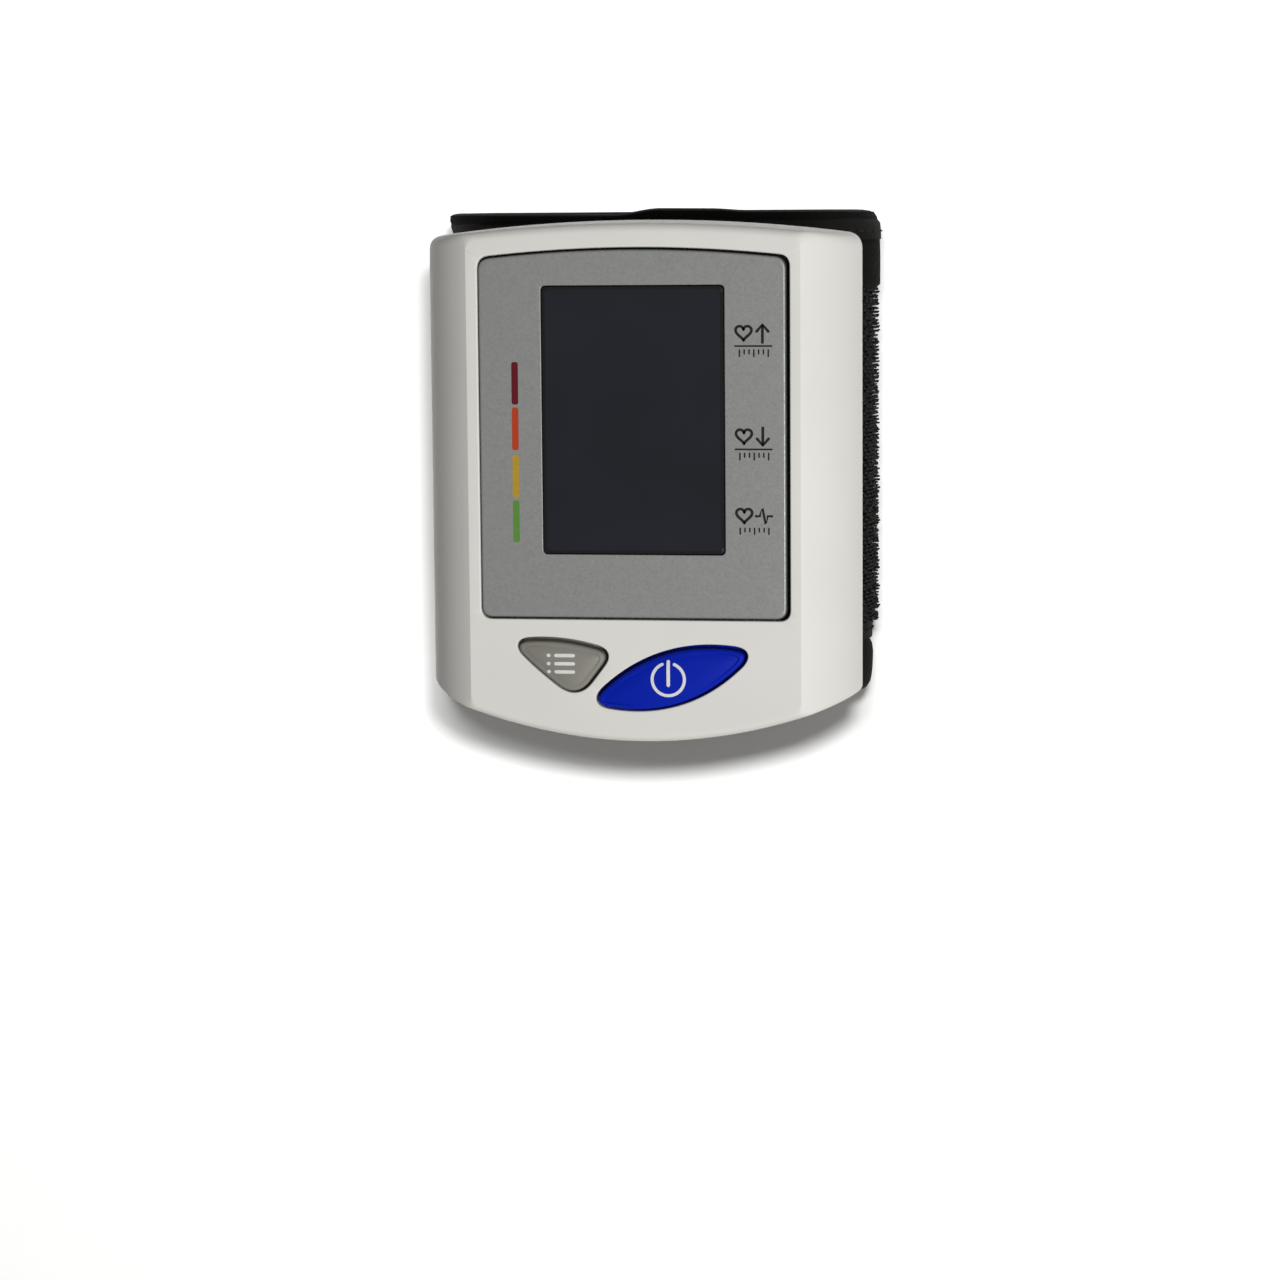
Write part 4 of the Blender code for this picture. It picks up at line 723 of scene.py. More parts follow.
class MONITOR_OT_housing(bpy.types.Operator):
    """Build the front half of the housing with rounded lips and finish the rear half"""
    bl_idname = "monitor.housing"
    bl_label = "Housing"

    def execute(self, context):
        sizes = context.scene.monitor_housing
        plastic = moulded_plastic("moulded_abs", tuple(sizes.abs_colour))
        self.front_half(sizes, plastic)
        dress(["lower_case", "battery_door"], plastic)
        return {'FINISHED'}

    def front_half(self, sizes, plastic):
        wall, ledge, rim, ceiling = 0.0018, 0.0010, 0.0002, FRONT_Z - 0.0026
        crease, slope = sizes.crease_half_width, sizes.crease_slope
        shares = [0.9 * step / 16 for step in range(16)]
        shares += [0.9 + 0.1 * step / 14 for step in range(15)]
        rings = [level(case_outline(CASE_HALF_WIDTH - rim, rim, rim, 0.0), PARTING_Z)]
        for share in shares:
            half_width, height = flank_point(share, crease, slope)
            insets = [fillet_inset(FRONT_Z - height, fillet)
                      for fillet in (sizes.top_fillet, sizes.bottom_fillet)]
            corner_share = (height - PARTING_Z) / (FRONT_Z - PARTING_Z)
            rings.append(level(case_outline(half_width, *insets, corner_share),
                               max(height, PARTING_Z + rim) if share == 0 else height))
        skin = Skin()
        outer_bottom, front_edge = skin.tower(rings)
        inner_bottom, ceiling_edge = skin.tower([
            level(case_outline(CASE_HALF_WIDTH - wall, wall, wall, 0.0), PARTING_Z),
            level(case_outline(crease + 0.0035, wall + ledge, wall + ledge, 0.5), ceiling)])
        skin.join(outer_bottom, inner_bottom)

        pocket = panel_outline(0.00014, 0.0006, 0.0004, 0.00025)
        floor = PANEL_LOW.z - 0.0003
        pocket_top, pocket_floor = skin.tower(rounded_mouth(pocket, FRONT_Z, floor, sizes.lip))
        aperture = window_outline(ledge)
        aperture_top, aperture_low = skin.tower([level(aperture, floor),
                                                 level(aperture, ceiling)])
        skin.fill(pocket_floor, aperture_top)
        mouths, outlets = [pocket_top], [aperture_low]
        for outline in (memory_outline(), power_outline()):
            mouth, outlet = skin.tower(rounded_mouth(key_hole(outline), FRONT_Z, ceiling,
                                                     sizes.lip))
            mouths.append(mouth)
            outlets.append(outlet)
        skin.fill(front_edge, *mouths)
        skin.fill(ceiling_edge, *outlets)
        shell = skin.piece("front_housing", plastic, "monitor")
        weigh_normals(shell)
        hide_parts("upper_case")


class MONITOR_OT_panel(bpy.types.Operator):
    """Build the silver face panel and the smoked window in it"""
    bl_idname = "monitor.panel"
    bl_label = "Face panel"

    def execute(self, context):
        sizes = context.scene.monitor_housing
        bottom, top, seam = PANEL_LOW.z, PANEL_HIGH.z, 0.00015
        skin = Skin()
        outer_low, outer_top = skin.tower(rounded_top(panel_outline(), bottom, top, 0.0004))
        seam_top, seam_low = skin.tower(rounded_mouth(window_outline(-seam), top, bottom,
                                                      seam, 3))
        skin.fill(outer_top, seam_top)
        skin.fill(outer_low, seam_low)
        plate = skin.piece("silver_face_panel", silver_paint(tuple(sizes.panel_colour)),
                           "monitor")
        weigh_normals(plate)
        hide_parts("face_panel")

        skin = Skin()
        skin.plug(rounded_top(window_outline(), bottom, top, 0.00012, 3))
        pane = skin.piece("smoked_window", smoked_acrylic(tuple(sizes.window_colour)), "monitor")
        weigh_normals(pane)
        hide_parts("display_window")
        self.border(top)
        # a black sheet under the panel darkens the gap round it: painted shade
        self.gap_shade_sheet(bottom)
        return {'FINISHED'}

    def border(self, top):
        """The black line printed round the window's edge."""
        skin = Skin()
        profile = ((-0.00002, -0.0002), (-0.00002, -0.0001), (0.0001, 0.00002),
                   (0.0005, 0.00002), (0.0005, -0.00002), (0.0001, -0.0002))
        first, last = skin.tower([level(window_outline(inset), top + height)
                                  for inset, height in profile])
        skin.join(last, first)
        skin.piece("window_border", printed_ink("black_border_ink", linear("#060607"), 0.4),
                   "monitor")

    def gap_shade_sheet(self, bottom):
        """A black sheet between the panel and the floor of its pocket, so that the gap round the
        panel shows dark: painted shade.
        """
        skin = Skin()
        outer, inner = [skin.tower([level(outline, bottom - 0.00028),
                                    level(outline, bottom - 0.00002)])
                        for outline in (panel_outline(0.0001, 0.0005, 0.0003, 0.0002),
                                        window_outline(0.0012))]
        for around, within in zip(outer, inner):
            skin.fill(around, within)
        # the sheet's black stands in for the shade in the gap: painted shade
        skin.piece("panel_gap_shade_sheet", printed_ink("painted_gap_shade", linear("#0b0b0b"), 0.9),
                   "monitor")


class MONITOR_OT_keys(bpy.types.Operator):
    """Build the memory key and the power key, each with a softly domed top and its mark"""
    bl_idname = "monitor.keys"
    bl_label = "Keys"

    def execute(self, context):
        sizes = context.scene.monitor_keys
        ink = printed_ink("white_pad_print", tuple(sizes.ink_colour))
        grey = moulded_plastic("grey_satin_abs", tuple(sizes.memory_colour), 0.5, 0.4, 0.00001)
        blue = moulded_plastic("blue_satin_abs", tuple(sizes.power_colour), 0.5, 0.4, 0.000008,
                               0.08)
        memory = self.key("memory", memory_outline(), sizes, grey, "memory_key", "grey_button")
        power = self.key("power", power_outline(), sizes, blue, "power_key", "blue_button")
        self.list_mark(memory, ink)
        self.power_mark(power, ink)
        return {'FINISHED'}

    def key(self, name, outline, sizes, material, body, slot):
        low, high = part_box(f"{name}_button")
        middle = Vector([sum(point[axis] for point in outline) / len(outline)
                         for axis in (0, 1)])
        flange_out, flange_thick, post_radius = 0.0009, 0.0012, 0.0016
        flange, flange_top = offset_outline(outline, flange_out), FRONT_Z - 0.0029
        rings = [level(flange, flange_top - flange_thick), level(flange, flange_top),
                 level(outline, flange_top)]
        rings += rounded_top(outline, flange_top + 0.0002, high.z, sizes.rim, 6)
        rim = [Vector(point[:2]) for point in rings[-1]]
        reach = max((Vector(point) - middle).length for point in outline)
        for share in (0.97, 0.9, 0.8, 0.68, 0.55, 0.42, 0.3, 0.18, 0.08):
            ring = []
            for point in (middle.lerp(edge, share) for edge in rim):
                away = min((point - middle).length / reach, 1.0)
                ring.append((*point, high.z + sizes.dome * (self.dome_share(share)
                                                            - away * away)))
            rings.append(ring)
        skin = Skin()
        skin.plug(rings)
        key = skin.piece(f"{name}_key_top", material, body)
        stem = Skin()
        round_post = [(middle.x + post_radius * math.cos(math.tau * step / 24),
                       middle.y + post_radius * math.sin(math.tau * step / 24))
                      for step in range(24)]
        stem.plug([level(round_post, low.z), level(round_post, flange_top - 0.001)])
        post = stem.piece(f"{name}_key_post", material, body)
        for piece in (key, post):
            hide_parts(f"{name}_button")
        return key

    def dome_share(self, share):
        """The dome starts at the rim: nothing at its edge, all of it further in."""
        inward = min((1 - share) / 0.5, 1.0)
        return inward * (2 - inward)

    def list_mark(self, key, ink):
        """Three short lines, the plain sign for a stored list."""
        skin = Skin()
        for row in (-1, 0, 1):
            y = -0.0286 + row * 0.0013
            for left, right in ((-0.0125, -0.0097), (-0.01372, -0.01362)):
                add_bar(skin, (left, y), (right, y), 0.00054)
        self.print_on(skin, "memory_mark", key, ink, "memory_key")

    def power_mark(self, key, ink):
        """A ring open at the top with an upright bar, the standard sign for power."""
        skin = Skin()
        centre, radius, line = (0.0054, -0.0309), 0.00256, 0.00048
        turns = [math.radians(112 + 316 * step / 48) for step in range(49)]
        add_ribbon(skin, [(centre[0] + radius * math.cos(angle),
                           centre[1] + radius * math.sin(angle)) for angle in turns], line)
        add_bar(skin, (centre[0], centre[1] - 0.0009), (centre[0], centre[1] + 0.0028), 0.00055)
        self.print_on(skin, "power_mark", key, ink, "power_key")

    def print_on(self, skin, name, key, ink, body):
        """Lay flat marks on a key's curved top."""
        tree = BVHTree.FromObject(key, bpy.context.evaluated_depsgraph_get())
        for index, (x, y, height) in enumerate(skin.points):
            found = tree.ray_cast(Vector((x, y, FRONT_Z + 0.01)), Vector((0.0, 0.0, -1.0)))[0]
            if found is None:
                raise RuntimeError(f"{name} reaches past its key")
            skin.points[index] = (x, y, found.z + height)
        skin.piece(name, ink, body)


def add_ribbon(skin, path, width):
    """A flat printed line along a path, with round ends."""
    centre = [Vector(point) for point in path]
    count = len(centre)
    left, right = [], []
    for index, here in enumerate(centre):
        along = centre[min(index + 1, count - 1)] - centre[max(index - 1, 0)]
        side = Vector((-along.y, along.x)).normalized() * (width / 2)
        left.append(here + side)
        right.append(here - side)
    outline = (right + round_end(centre[-1], centre[-1] - centre[-2], width) + left[::-1]
               + round_end(centre[0], centre[0] - centre[1], width))
    rows = [skin.ring([(point.x, point.y, lift) for point in outline])
            for lift in (-INK_BELOW, INK_ABOVE)]
    skin.join(*rows)
    for row in rows:
        back = row[count + 5:][:count][::-1]
        for step in range(count - 1):
            skin.faces.append((row[step], row[step + 1], back[step + 1], back[step]))
        skin.cap(row[count - 1:count + 6])
        skin.cap(row[2 * count + 4:] + row[:1])


def round_end(tip, along, width):
    """Five points of a half circle past a line's end, from its right to its left."""
    along = along.normalized()
    side = Vector((along.y, -along.x))
    return [tip + (side * math.cos(math.pi * step / 6) + along * math.sin(math.pi * step / 6))
            * (width / 2) for step in range(1, 6)]


def add_bar(skin, start, end, width):
    """A straight line, in steps short enough to follow a curved key."""
    first, last = Vector(start), Vector(end)
    steps = max(2, round((last - first).length / 0.0002))
    add_ribbon(skin, [tuple(first.lerp(last, step / steps)) for step in range(steps + 1)], width)


class MONITOR_OT_prints(bpy.types.Operator):
    """Print the colour scale left of the window and the plain marks right of it"""
    bl_idname = "monitor.prints"
    bl_label = "Panel prints"

    def execute(self, context):
        keys = context.scene.monitor_keys
        ink = printed_ink("dark_screen_print", tuple(keys.legend_colour))
        bands = (("maroon", "#5c0f1c", 0.01215, 0.0188), ("orange", "#b5401f", 0.0050, 0.0117),
                 ("amber", "#b8962f", -0.0024, 0.00425), ("green", "#5c8c3e", -0.0095, -0.0029))
        for name, code, low, high in bands:
            skin = Skin()
            outline = rounded_rectangle((-0.01922, low), (-0.01818, high), 0.0004, 5)
            skin.plug([level(outline, PANEL_HIGH.z - INK_BELOW),
                       level(outline, PANEL_HIGH.z + INK_ABOVE)])
            skin.piece(f"scale_{name}", printed_ink(f"{name}_screen_print", linear(code)),
                       "monitor")
        self.marks(ink)
        return {'FINISHED'}

    def marks(self, ink):
        """A heart with an upward, a downward and a beating line, each for one reading."""
        skin = Skin()
        heart_x, arrow_x, arrow_line = 0.01745, 0.0204, 0.00044
        for y, way in ((0.0212, 1), (0.0052, -1)):
            middle = y + 0.00195
            tip, barb = middle + 0.00135 * way, middle + 0.00030 * way
            add_bar(skin, (0.0161, y), (0.0218, y), 0.00026)
            self.heart(skin, heart_x, middle)
            add_bar(skin, (arrow_x, middle - 0.0014 * way), (arrow_x, tip - 0.0002 * way),
                    arrow_line)
            add_ribbon(skin, [(arrow_x - 0.0009, barb), (arrow_x, tip),
                              (arrow_x + 0.0009, barb)], arrow_line)
            self.ticks(skin, y - 0.0006, 0.0010)
        y = -0.0052
        self.heart(skin, heart_x, y)
        add_ribbon(skin, [(0.0193, y), (0.0199, y), (0.0203, y + 0.0012), (0.0208, y - 0.0012),
                          (0.0211, y), (0.0218, y)], 0.0004)
        self.ticks(skin, y - 0.0019, 0.0009)
        skin.points = [(x, y, z + PANEL_HIGH.z) for x, y, z in skin.points]
        skin.piece("reading_marks", ink, "monitor")

    def heart(self, skin, x, y):
        path, scale = [], 0.000078
        for step in range(41):
            angle = math.tau * (step % 40) / 40
            up = (13 * math.cos(angle) - 5 * math.cos(2 * angle) - 2 * math.cos(3 * angle)
                  - math.cos(4 * angle))
            path.append((x + 16 * math.sin(angle) ** 3 * scale, y + (up + 2.5) * scale))
        add_ribbon(skin, path, 0.00043)

    def ticks(self, skin, top, tall):
        """A short row of fine upright lines, like a scale."""
        for place in range(7):
            x = 0.0168 + place * 0.00075
            add_bar(skin, (x, top), (x, top - tall * (1.0 if place % 3 == 0 else 0.6)), 0.00024)


class MONITOR_OT_cuff(bpy.types.Operator):
    """Build the cuff's cloth: its cover, lining, air bladder and free end"""
    bl_idname = "monitor.cuff"
    bl_label = "Cuff"

    def execute(self, context):
        sizes = context.scene.monitor_cuff
        rgb = tuple(sizes.fabric_colour)
        pile = brushed_nylon("brushed_nylon_loop", rgb)
        knit = brushed_nylon("knitted_nylon_lining", shaded(rgb, 1.15), 0.8, 0.00008)
        film = translucent("welded_urethane_film", linear("#8c8880"), 0.45, 0.2)
        self.band(sizes, pile, knit)
        self.bladder(film)
        self.tail(sizes, pile, knit)
        return {'FINISHED'}

    def surfaces(self, sizes, edges):
        """The cuff's outside and inside, as distances that go by angle and y."""
        def fall(angle, y):
            return sizes.edge_round * edge_fall(y, *edges(angle))

        def outer(angle, y):
            return (band_outer(angle) - fall(angle, y) * (1 - STRAP_THINNING * strap_share(angle))
                    + crumple(angle, y, 0.011, 0.00022) + crumple(angle, y, 0.0042, 0.00007)
                    + thickening(angle, y))

        def inner(angle, y):
            thinner = INSIDE_THINNING * fall(angle, y) * (1 - 0.6 * strap_share(angle))
            return band_inner(angle) + thinner + 0.00012 + crumple(angle, y, 0.009, 0.00016)

        return outer, inner

    def band(self, sizes, pile, knit):
        """The cover and the lining, from the short end to the root of the free end."""
        angles = spread(SHORT_END, TAIL_START, math.radians(1.5))
        outer, inner = self.surfaces(sizes, whole_width)
        cover = cloth("cuff_outer_cloth", angles, whole_width,
                      lambda angle, y: min(outer(angle, y) - 0.0009, band_outer(angle) - 0.0012),
                      outer, pile, "monitor")
        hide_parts("cuff_cover", "cuff_former")
        flat = arc_length(angles, lambda angle: band_outer(angle) - 0.0006)

        lining = cloth("cuff_lining_cloth", angles, whole_width, inner,
                       lambda angle, y: max(inner(angle, y) + 0.0006, band_inner(angle) + 0.0008),
                       knit, "monitor")
        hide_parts("cuff_lining")
        flat = arc_length(angles, lambda angle: band_inner(angle) + 0.0005)

    def bladder(self, film):
        """A flat bag: thin welded rims and a slightly swollen middle."""
        low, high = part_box("air_bladder")
        first, last, rim_width, rim_turn = math.radians(-60.0), math.radians(205.0), 0.006, 0.16

        def half_thickness(angle, y):
            rim = min((y - low.y) / rim_width, (high.y - y) / rim_width,
                      (angle - first) / rim_turn, (last - angle) / rim_turn, 1.0)
            return 0.00015 + 0.0006 * math.sin(math.pi / 2 * max(rim, 0.0)) ** 0.7

        middle = (BLADDER_INNER + BLADDER_OUTER) / 2
        piece = cloth("cuff_bladder", spread(first, last, math.radians(2.5)),
                      lambda angle: (low.y, high.y),
                      lambda angle, y: middle - half_thickness(angle, y),
                      lambda angle, y: middle + half_thickness(angle, y), film, "monitor", 0.003)
        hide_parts("air_bladder")

    def tail(self, sizes, pile, knit):
        """The free end, in two layers: its cloth and its lining."""
        angles = spread(TAIL_START, FLAP_TIP - 0.0005, math.radians(1.0)) + [FLAP_TIP - 0.0002]
        outer, inner = self.surfaces(sizes, tail_width)
        half_seam = 0.0002

        def middle(angle):
            return (band_inner(angle) + band_outer(angle)) / 2

        for name, under, over, material, node in (
                ("free_end_cloth", lambda angle, y: middle(angle) + half_seam, outer, pile,
                 "flap_cover"),
                ("free_end_lining", inner, lambda angle, y: middle(angle) - half_seam, knit,
                 "flap_lining")):
            piece = cloth(name, angles, tail_width, under, over, material, None)
            bend_at_root(piece)
            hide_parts(node)
            flat = arc_length(angles, lambda angle: (STRAP_INNER + STRAP_OUTER) / 2)


def arc_length(angles, distance):
    """Length round the wrist of a line at a distance outside the opening."""
    points = [wrap_point(angle, distance(angle), 0.0) for angle in angles]
    return sum((after - before).length for before, after in zip(points, points[1:]))


def bend_at_root(piece):
    """Bake the piece's place into its mesh; where a bend at the free end's root would start and
    end is found but not used.
    """
    middle = (STRAP_INNER + STRAP_OUTER) / 2
    start = wrap_point(FLAP_ROOT - math.radians(8.0), middle, 0.0)
    end = wrap_point(FLAP_ROOT + math.radians(5.0), middle, 0.0)
    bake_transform(piece)


class MONITOR_OT_edges(bpy.types.Operator):
    """Fold a binding tape over the cuff's edges and sew it down"""
    bl_idname = "monitor.edges"
    bl_label = "Bindings and stitches"

    def execute(self, context):
        sizes = context.scene.monitor_cuff
        rgb = tuple(sizes.fabric_colour)
        tape = woven_tape("grosgrain_binding", shaded(rgb, 1.2))
        thread = woven_tape("polyester_thread", shaded(rgb, 2.6), 0.3)
        for kind, make, material in (("binding", self.binding, tape),
                                     ("stitches", self.stitches, thread)):
            for name, path, body in (("main", self.main_path(), "monitor"),
                                     ("free_end", self.tail_path(), None)):
                piece = make(f"{kind}_{name}", path, sizes, material, body)
                if body is None:
                    bend_at_root(piece)
        return {'FINISHED'}

    # A station is an angle, a y, and the angle part and y part of the way out of the cuff.

    def long_edge(self, start, end, step, edge, way):
        return [(angle, edge(angle), 0.0, way)
                for angle in spread(start, end, math.radians(step))]

    def corner(self, centre, turn_in, radius, edge, way, turns):
        """Stations round a corner; its way is -1 at the lower edge and 1 at the upper."""
        stations = []
        for turn in turns:
            angle = centre + turn_in * math.cos(turn)
            stations.append((angle, edge(angle) + radius * (math.sin(turn) - way),
                             math.cos(turn), math.sin(turn)))
        return stations

    def main_path(self):
        """Back along the lower edge, round the short end and along the upper edge."""
        turn_in, lowest = 0.05, low_edge(SHORT_END)
        centre = SHORT_END + turn_in
        quarters = [share * math.pi / 2 for share in (0.25, 0.5, 0.75)]
        return (self.long_edge(TAIL_START, centre, 2.0, low_edge, -1.0)
                + self.corner(centre, turn_in, CUFF_CORNER, lambda angle: lowest, -1.0,
                              [1.5 * math.pi - turn for turn in quarters])
                + [(SHORT_END, y, -1.0, 0.0)
                   for y in spread(lowest + CUFF_CORNER, CUFF_TOP_Y - CUFF_CORNER, 0.004)]
                + self.corner(centre, turn_in, CUFF_CORNER, lambda angle: CUFF_TOP_Y, 1.0,
                              [math.pi - turn for turn in quarters])
                + self.long_edge(centre, TAIL_START, 2.0, high_edge, 1.0))

    def tail_path(self):
        """Along the lower edge, round the free end's tip and back along the upper edge."""
        turn_in = TAIL_CORNER / (OPENING[1] + STRAP_INNER)
        centre = FLAP_TIP - turn_in
        turns = spread(0.1, math.pi / 2 - 0.1, 0.12)
        return (self.long_edge(TAIL_START, centre, 1.0, low_edge, -1.0)
                + self.corner(centre, turn_in, TAIL_CORNER, low_edge, -1.0,
                              [turn - math.pi / 2 for turn in turns])
                + [(FLAP_TIP, y, 1.0, 0.0)
                   for y in spread(low_edge(FLAP_TIP) + TAIL_CORNER, CUFF_TOP_Y - TAIL_CORNER,
                                   0.003)]
                + self.corner(centre, turn_in, TAIL_CORNER, lambda angle: CUFF_TOP_Y, 1.0,
                              turns)
                + self.long_edge(centre, TAIL_START, 1.0, lambda angle: CUFF_TOP_Y, 1.0))

    def place(self, station, inward, distance):
        """A point a given way in from the edge and out from the wrist opening."""
        angle, y, out_angle, out_y = station
        rate = arc_rate(angle, distance)
        return wrap_point(angle - out_angle * inward / rate, distance, y - out_y * inward)

    def binding(self, name, path, sizes, tape, body):
        width, thick = sizes.binding_width, sizes.binding_thickness
        loops = []
        for station in path:
            angle = station[0]
            fall = sizes.edge_round * (1 - STRAP_THINNING * strap_share(angle))
            doubled = thickening(angle, station[1]) if station[3] > 0.5 else 0.0
            top, bottom = band_outer(angle) + doubled, band_inner(angle)
            high, low = top - fall, bottom + INSIDE_THINNING * fall
            middle, half = (high + low) / 2, (high - low) / 2
            drops = [(inward, fall * edge_fall(inward, 0.0, math.inf))
                     for inward in (width, width * 0.7, width * 0.45)]
            outside = [(inward, top - drop + thick * 0.7) for inward, drop in drops]
            inside = [(inward, top - drop - thick * 0.3) for inward, drop in drops]
            for step in range(9):
                share = math.pi / 2 - math.pi * step / 8
                reach = sizes.nose * (1 - math.cos(share) ** 0.6)
                outside.append((reach, middle + (half + thick * 0.7) * math.sin(share)))
                inside.append((reach + thick * math.cos(share) ** 0.6,
                               middle + (half - thick * 0.3) * math.sin(share)))
            for inward, drop in reversed(drops):
                rise = INSIDE_THINNING * drop
                outside.append((inward, bottom + rise - thick * 0.4))
                inside.append((inward, bottom + rise + thick * 0.5))
            loops.append([self.place(station, inward, max(distance, 0.0))
                          for inward, distance in outside + inside[::-1]])
        skin = Skin()
        for loop in skin.tower(loops):
            skin.close_flat(loop)
        return skin.piece(name, tape, body)

    def stitches(self, name, path, sizes, thread, body):
        inward = sizes.binding_width * 0.72
        points = [(self.place(station, inward, band_outer(station[0]) + 0.00022
                              + thickening(*station[:2]) * max(station[3], 0.0)),
                   outward_at(station[0])) for station in path]
        skin = Skin()
        sew(skin, points, sizes.stitch, sizes.thread)
        return skin.piece(name, thread, body)


def sew(skin, points, stitch, thread):
    """Lay stitches along (point, outward) stations, each dipping into the cloth at its ends."""
    gap = stitch * 0.28
    travelled, following = 0.0, 0.0
    for (start, out_a), (end, out_b) in zip(points, points[1:]):
        run = (end - start).length
        while following <= travelled + run and run > 0:
            share = (following - travelled) / run
            outward = out_a.lerp(out_b, share).normalized()
            add_stitch(skin, start.lerp(end, share), (end - start).normalized(), outward,
                       stitch, thread)
            following += stitch + gap
        travelled += run


def add_stitch(skin, start, along, outward, stitch, thread):
    """One stitch: a thread that swells and rises in its middle, never below the floor."""
    side = along.cross(outward).normalized()
    rings = []
    for step in range(6):
        share = step / 5
        swell = max(math.sin(math.pi * share), 0.3) ** 0.5
        lift = thread * (0.45 * math.sin(math.pi * share) - 0.35)
        centre = start + along * (stitch * share) + outward * lift
        centre.z = max(centre.z, thread * 0.55)
        rings.append([centre + (side * math.cos(angle) + outward * math.sin(angle))
                      * (thread / 2 * swell)
                      for angle in (math.tau * corner / 6 for corner in range(6))])
    skin.plug(rings)


class MONITOR_OT_hooks(bpy.types.Operator):
    """Build the hook tape: its woven ground, its rows of hooks and the seam round it"""
    bl_idname = "monitor.hooks"
    bl_label = "Hook tape"

    def execute(self, context):
        sizes = context.scene.monitor_cuff
        rgb = tuple(sizes.fabric_colour)
        low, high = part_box("hook_tape")
        ground = woven_tape("woven_hook_ground", shaded(rgb, 0.7), 0.7)
        nylon = moulded_plastic("nylon_monofilament", shaded(rgb, 0.8), 0.45, 0.3, 0.000004,
                                0.1)
        thread = bpy.data.materials["polyester_thread"]
        piece = cloth("hook_tape_ground", spread(TAPE_START, TAPE_END, math.radians(1.5)),
                      lambda angle: (low.y, high.y), lambda angle, y: BAND_OUTER + 0.0001,
                      lambda angle, y: TAPE_INNER + 0.0004, ground, "monitor")
        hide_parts("hook_tape")
        flat = arc_length(spread(TAPE_START, TAPE_END, 0.02), lambda angle: TAPE_INNER)
        self.hooks(low, high, sizes, nylon)
        self.seam(low, high, sizes, thread)
        return {'FINISHED'}

    def hooks(self, low, high, sizes, nylon):
        """Rows of hooks, every second one half a pitch further up; here and there one lacks."""
        pitch, bare_end = sizes.hook_pitch, 0.05
        skin = Skin()
        rows = int((high.y - low.y - 0.0045) / pitch)
        angle, column = TAPE_START + bare_end, 0
        while angle < TAPE_END - bare_end:
            for row in range(rows + 1):
                y = low.y + 0.003 + row * pitch + (pitch / 2 if column % 2 else 0.0)
                lean = noise.noise(Vector((angle * 40, y * 900, 3.0)))
                if noise.noise(Vector((angle * 55, y * 1300, 9.0))) > -0.3:
                    self.hook(skin, angle, y, 1 if row % 2 else -1, lean, sizes)
            angle += pitch * 0.75 / arc_rate(angle, TAPE_INNER)
            column += 1
        skin.piece("hook_rows", nylon, "monitor")

    def hook(self, skin, angle, y, way, lean, sizes):
        """One hook: a bent strip of monofilament, open to the left or the right."""
        base, out = wrap_point(angle, TAPE_INNER + 0.0003, y), outward_at(angle)
        along = Vector((0.0, 1.0, 0.0)).cross(out)
        tall, thick = sizes.hook_height * (0.9 + 0.35 * lean), 0.00024
        reach = tall * 0.42
        line = [(0.0, 0.0), (0.02, 0.5), (0.15, 0.85), (0.5, 1.0), (0.85, 0.86), (1.0, 0.62)]
        rings = []
        for index, (over, up) in enumerate(line):
            before, after = line[max(index - 1, 0)], line[min(index + 1, len(line) - 1)]
            slope = Vector((after[0] - before[0], (after[1] - before[1]) * 2)).normalized()
            centre = base + out * (up * tall) + along * (way * over * reach)
            centre += Vector((0.0, lean * 0.0005 * up, 0.0))
            across = (along * (way * -slope.y) + out * slope.x) * (thick / 2)
            wide = Vector((0.0, thick * 0.6, 0.0))
            rings.append([centre + across + wide, centre - across + wide,
                          centre - across - wide, centre + across - wide])
        skin.plug(rings)

    def seam(self, low, high, sizes, thread):
        """Stitches 1.5 mm inside the tape's own edge."""
        inset, turn_in = 0.0015, 0.04
        first, last = TAPE_START + turn_in, TAPE_END - turn_in
        path = [(angle, low.y + inset) for angle in spread(first, last, 0.03)]
        path += [(last, y) for y in spread(low.y + inset, high.y - inset, 0.002)]
        path += [(angle, high.y - inset) for angle in spread(last, first, 0.03)]
        path += [(first, y) for y in spread(high.y - inset, low.y + inset, 0.002)]
        skin = Skin()
        sew(skin, [(wrap_point(angle, TAPE_INNER + 0.0005, y), outward_at(angle))
                   for angle, y in path], sizes.stitch, sizes.thread)
        skin.piece("hook_tape_stitches", thread, "monitor")


class MONITOR_OT_insides(bpy.types.Operator):
    """Finish the parts inside the housing"""
    bl_idname = "monitor.insides"
    bl_label = "Inner parts"

    def execute(self, context):
        natural = moulded_plastic("natural_abs", linear("#cfcdc6"), 0.45)
        black = moulded_plastic("black_epoxy", linear("#1c1c1d"), 0.4, 0.25)
        steel = plated_metal("zinc_plated_steel", linear("#b9bab8"), 0.34, 1.0)
        nickel = plated_metal("nickel_plate", linear("#cdc8bd"), 0.24)
        silicone = translucent("silicone_tube", linear("#cfc9bc"), 0.45, 0.25)
        dress(["lcd_frame", "air_manifold", "air_nozzle", "pump_head"], natural)
        dress(["memory_switch", "power_switch", "processor_chip", "buzzer", "pressure_sensor",
               "lcd_seal"], black)
        dress(["memory_plunger", "power_plunger"],
              moulded_plastic("grey_switch_nylon", linear("#8a8880"), 0.4))
        dress(["case_screw_1", "case_screw_2", "case_screw_3", "case_screw_4", "pump_motor",
               "release_valve"], steel)
        dress(["contact_positive", "contact_negative", "contact_bridge", "spring_1", "spring_2",
               "quartz_crystal"], nickel)
        dress(["pump_hose", "sensor_hose", "valve_hose", "lcd_connector"], silicone)
        dress(["main_board"], solder_mask(linear("#1d5c38"), linear("#3f8a4f")))
        dress(["lcd_glass"], translucent("polarised_glass", linear("#8d988c"), 0.12, 0.5))
        dress(["battery_1", "battery_2"],
              moulded_plastic("printed_cell_jacket", linear("#3b434f"), 0.3, 0.6, 0.000004))
        return {'FINISHED'}


